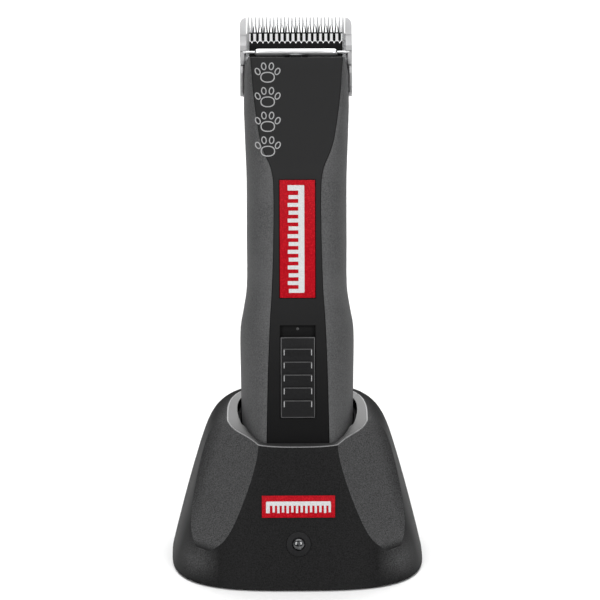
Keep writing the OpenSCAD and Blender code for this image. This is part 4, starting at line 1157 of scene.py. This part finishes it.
INNER_FINISHES = {
    "black_plastic": black_plastic, "plated_steel": plated, "bright_steel": bar_steel,
    "spring_steel": metal("spring_steel", (0.62, 0.63, 0.66), 0.28, along=(3, 3, 0.4)),
    "contact_metal": metal("gold_plated_contact", (0.83, 0.62, 0.27), 0.26, line=0.5),
    "bronze": metal("sintered_bronze", (0.55, 0.38, 0.18), 0.5, line=0.2, depth=0.01),
    "copper": metal("lacquered_copper", (0.72, 0.3, 0.13), 0.35, along=(0.4, 3, 3), line=0.3,
                    depth=0.02),
    "magnet": metal("magnet_ferrite", (0.08, 0.08, 0.085), 0.6, line=0.6, depth=0.01),
    "carbon": moulded("brush_carbon", (0.02, 0.02, 0.021), 0.7, grain=0.3),
    "nylon": moulded("nylon_natural", (0.7, 0.68, 0.6), 0.45, grain=0.8, depth=0.01,
                     speckle=0.06),
    "board": moulded("board_green_mask", (0.01, 0.11, 0.035), 0.3, grain=1.4, depth=0.01),
    "component": moulded("component_epoxy", (0.014, 0.014, 0.015), 0.5, grain=0.4),
    "cell_wrap": moulded("cell_shrink_wrap", (0.03, 0.16, 0.42), 0.25, grain=3, depth=0.03,
                         speckle=0.1)}
slots_of = {part["node"]: part["material_slot"] for part in frame["record"]["subparts"]}
for node_name, node in frame["nodes"].items():
    if not node.hide_render:
        finish = screw_steel if "screw" in node_name else INNER_FINISHES[slots_of[node_name]]
        finish = black_plastic if node_name == "lever_tip" else finish
        for k in range(len(node.data.materials)):
            node.data.materials[k] = finish.material
        if not node.data.materials:
            node.data.materials.append(finish.material)

# ---------------------------------------------------------------- floor, light and camera
# A wide white floor, two tall soft boxes at the sides, one overhead and a dim room: the
# sides light the facets, and nothing bright stands in front of the dark panel.

bm = bmesh.new()
bmesh.ops.create_grid(bm, x_segments=1, y_segments=1, size=12000)
floor = blank(bm, "floor")
floor.data.transform(METRES)
floor_paint = Finish("floor_white", (0.9, 0.9, 0.9), 0.9)
floor_cloud = floor_paint.noise(400, 2)
floor_paint.show(**{"Base Color": floor_paint.tint(floor_cloud, (0.89, 0.89, 0.89),
                                                   (0.91, 0.91, 0.91))})
floor.data.materials.append(floor_paint.material)

world = bpy.data.worlds.new("room")
bpy.context.scene.world = world
world.use_nodes = True
sky = world.node_tree
direction = sky.nodes.new("ShaderNodeTexCoord")
split = sky.nodes.new("ShaderNodeSeparateXYZ")
upward = sky.nodes.new("ShaderNodeMapRange")
sky.links.new(direction.outputs["Generated"], split.inputs[0])
sky.links.new(split.outputs["Z"], upward.inputs["Value"])
for name, value in (("From Min", 0.0), ("From Max", 0.9), ("To Min", 0.12), ("To Max", 0.8)):
    upward.inputs[name].default_value = value
sky.links.new(upward.outputs[0], sky.nodes["Background"].inputs["Strength"])


def soft_box(name, position, aim, width, height, power):
    light = bpy.data.lights.new(name, "AREA")
    light.shape = "RECTANGLE"
    light.size, light.size_y, light.energy = width, height, power
    lamp = bpy.data.objects.new(name, light)
    bpy.context.scene.collection.objects.link(lamp)
    lamp.location = position
    lamp.rotation_euler = (Vector(aim) - Vector(position)).to_track_quat("-Z", "Y").to_euler()
    return lamp


for side in (-1, 1):
    soft_box("side_box", (side * 0.8, -1.5, 1.0), (0, 0, 0.12), 0.7, 0.9, 14)
soft_box("overhead_box", (0, 0.1, 1.9), (0, 0, 0.1), 2.4, 2.0, 34)
soft_box("rear_box", (0, 1.5, 1.5), (0, 0, 0.1), 1.8, 0.9, 28)

scene = bpy.context.scene
scene.view_settings.view_transform = "Standard"
camera = bpy.data.objects.new("camera", bpy.data.cameras.new("camera"))
scene.collection.objects.link(camera)
scene.camera = camera
camera.data.sensor_width = 36
camera.data.lens = 271.4
CAMERA_TILT, CAMERA_TURN, CAMERA_DISTANCE = math.radians(15.5), math.radians(0.8), 2.0
AIM_ACROSS, AIM_UP = 0.00124, 0.1113
ahead = Vector((math.sin(CAMERA_TURN) * math.cos(CAMERA_TILT),
                math.cos(CAMERA_TURN) * math.cos(CAMERA_TILT), -math.sin(CAMERA_TILT)))
right = ahead.cross(Vector((0, 0, 1))).normalized()
aim = right * AIM_ACROSS + right.cross(ahead) * AIM_UP
camera.location = aim - ahead * CAMERA_DISTANCE
camera.rotation_euler = ahead.to_track_quat("-Z", "Y").to_euler()
camera.data.clip_end = 50
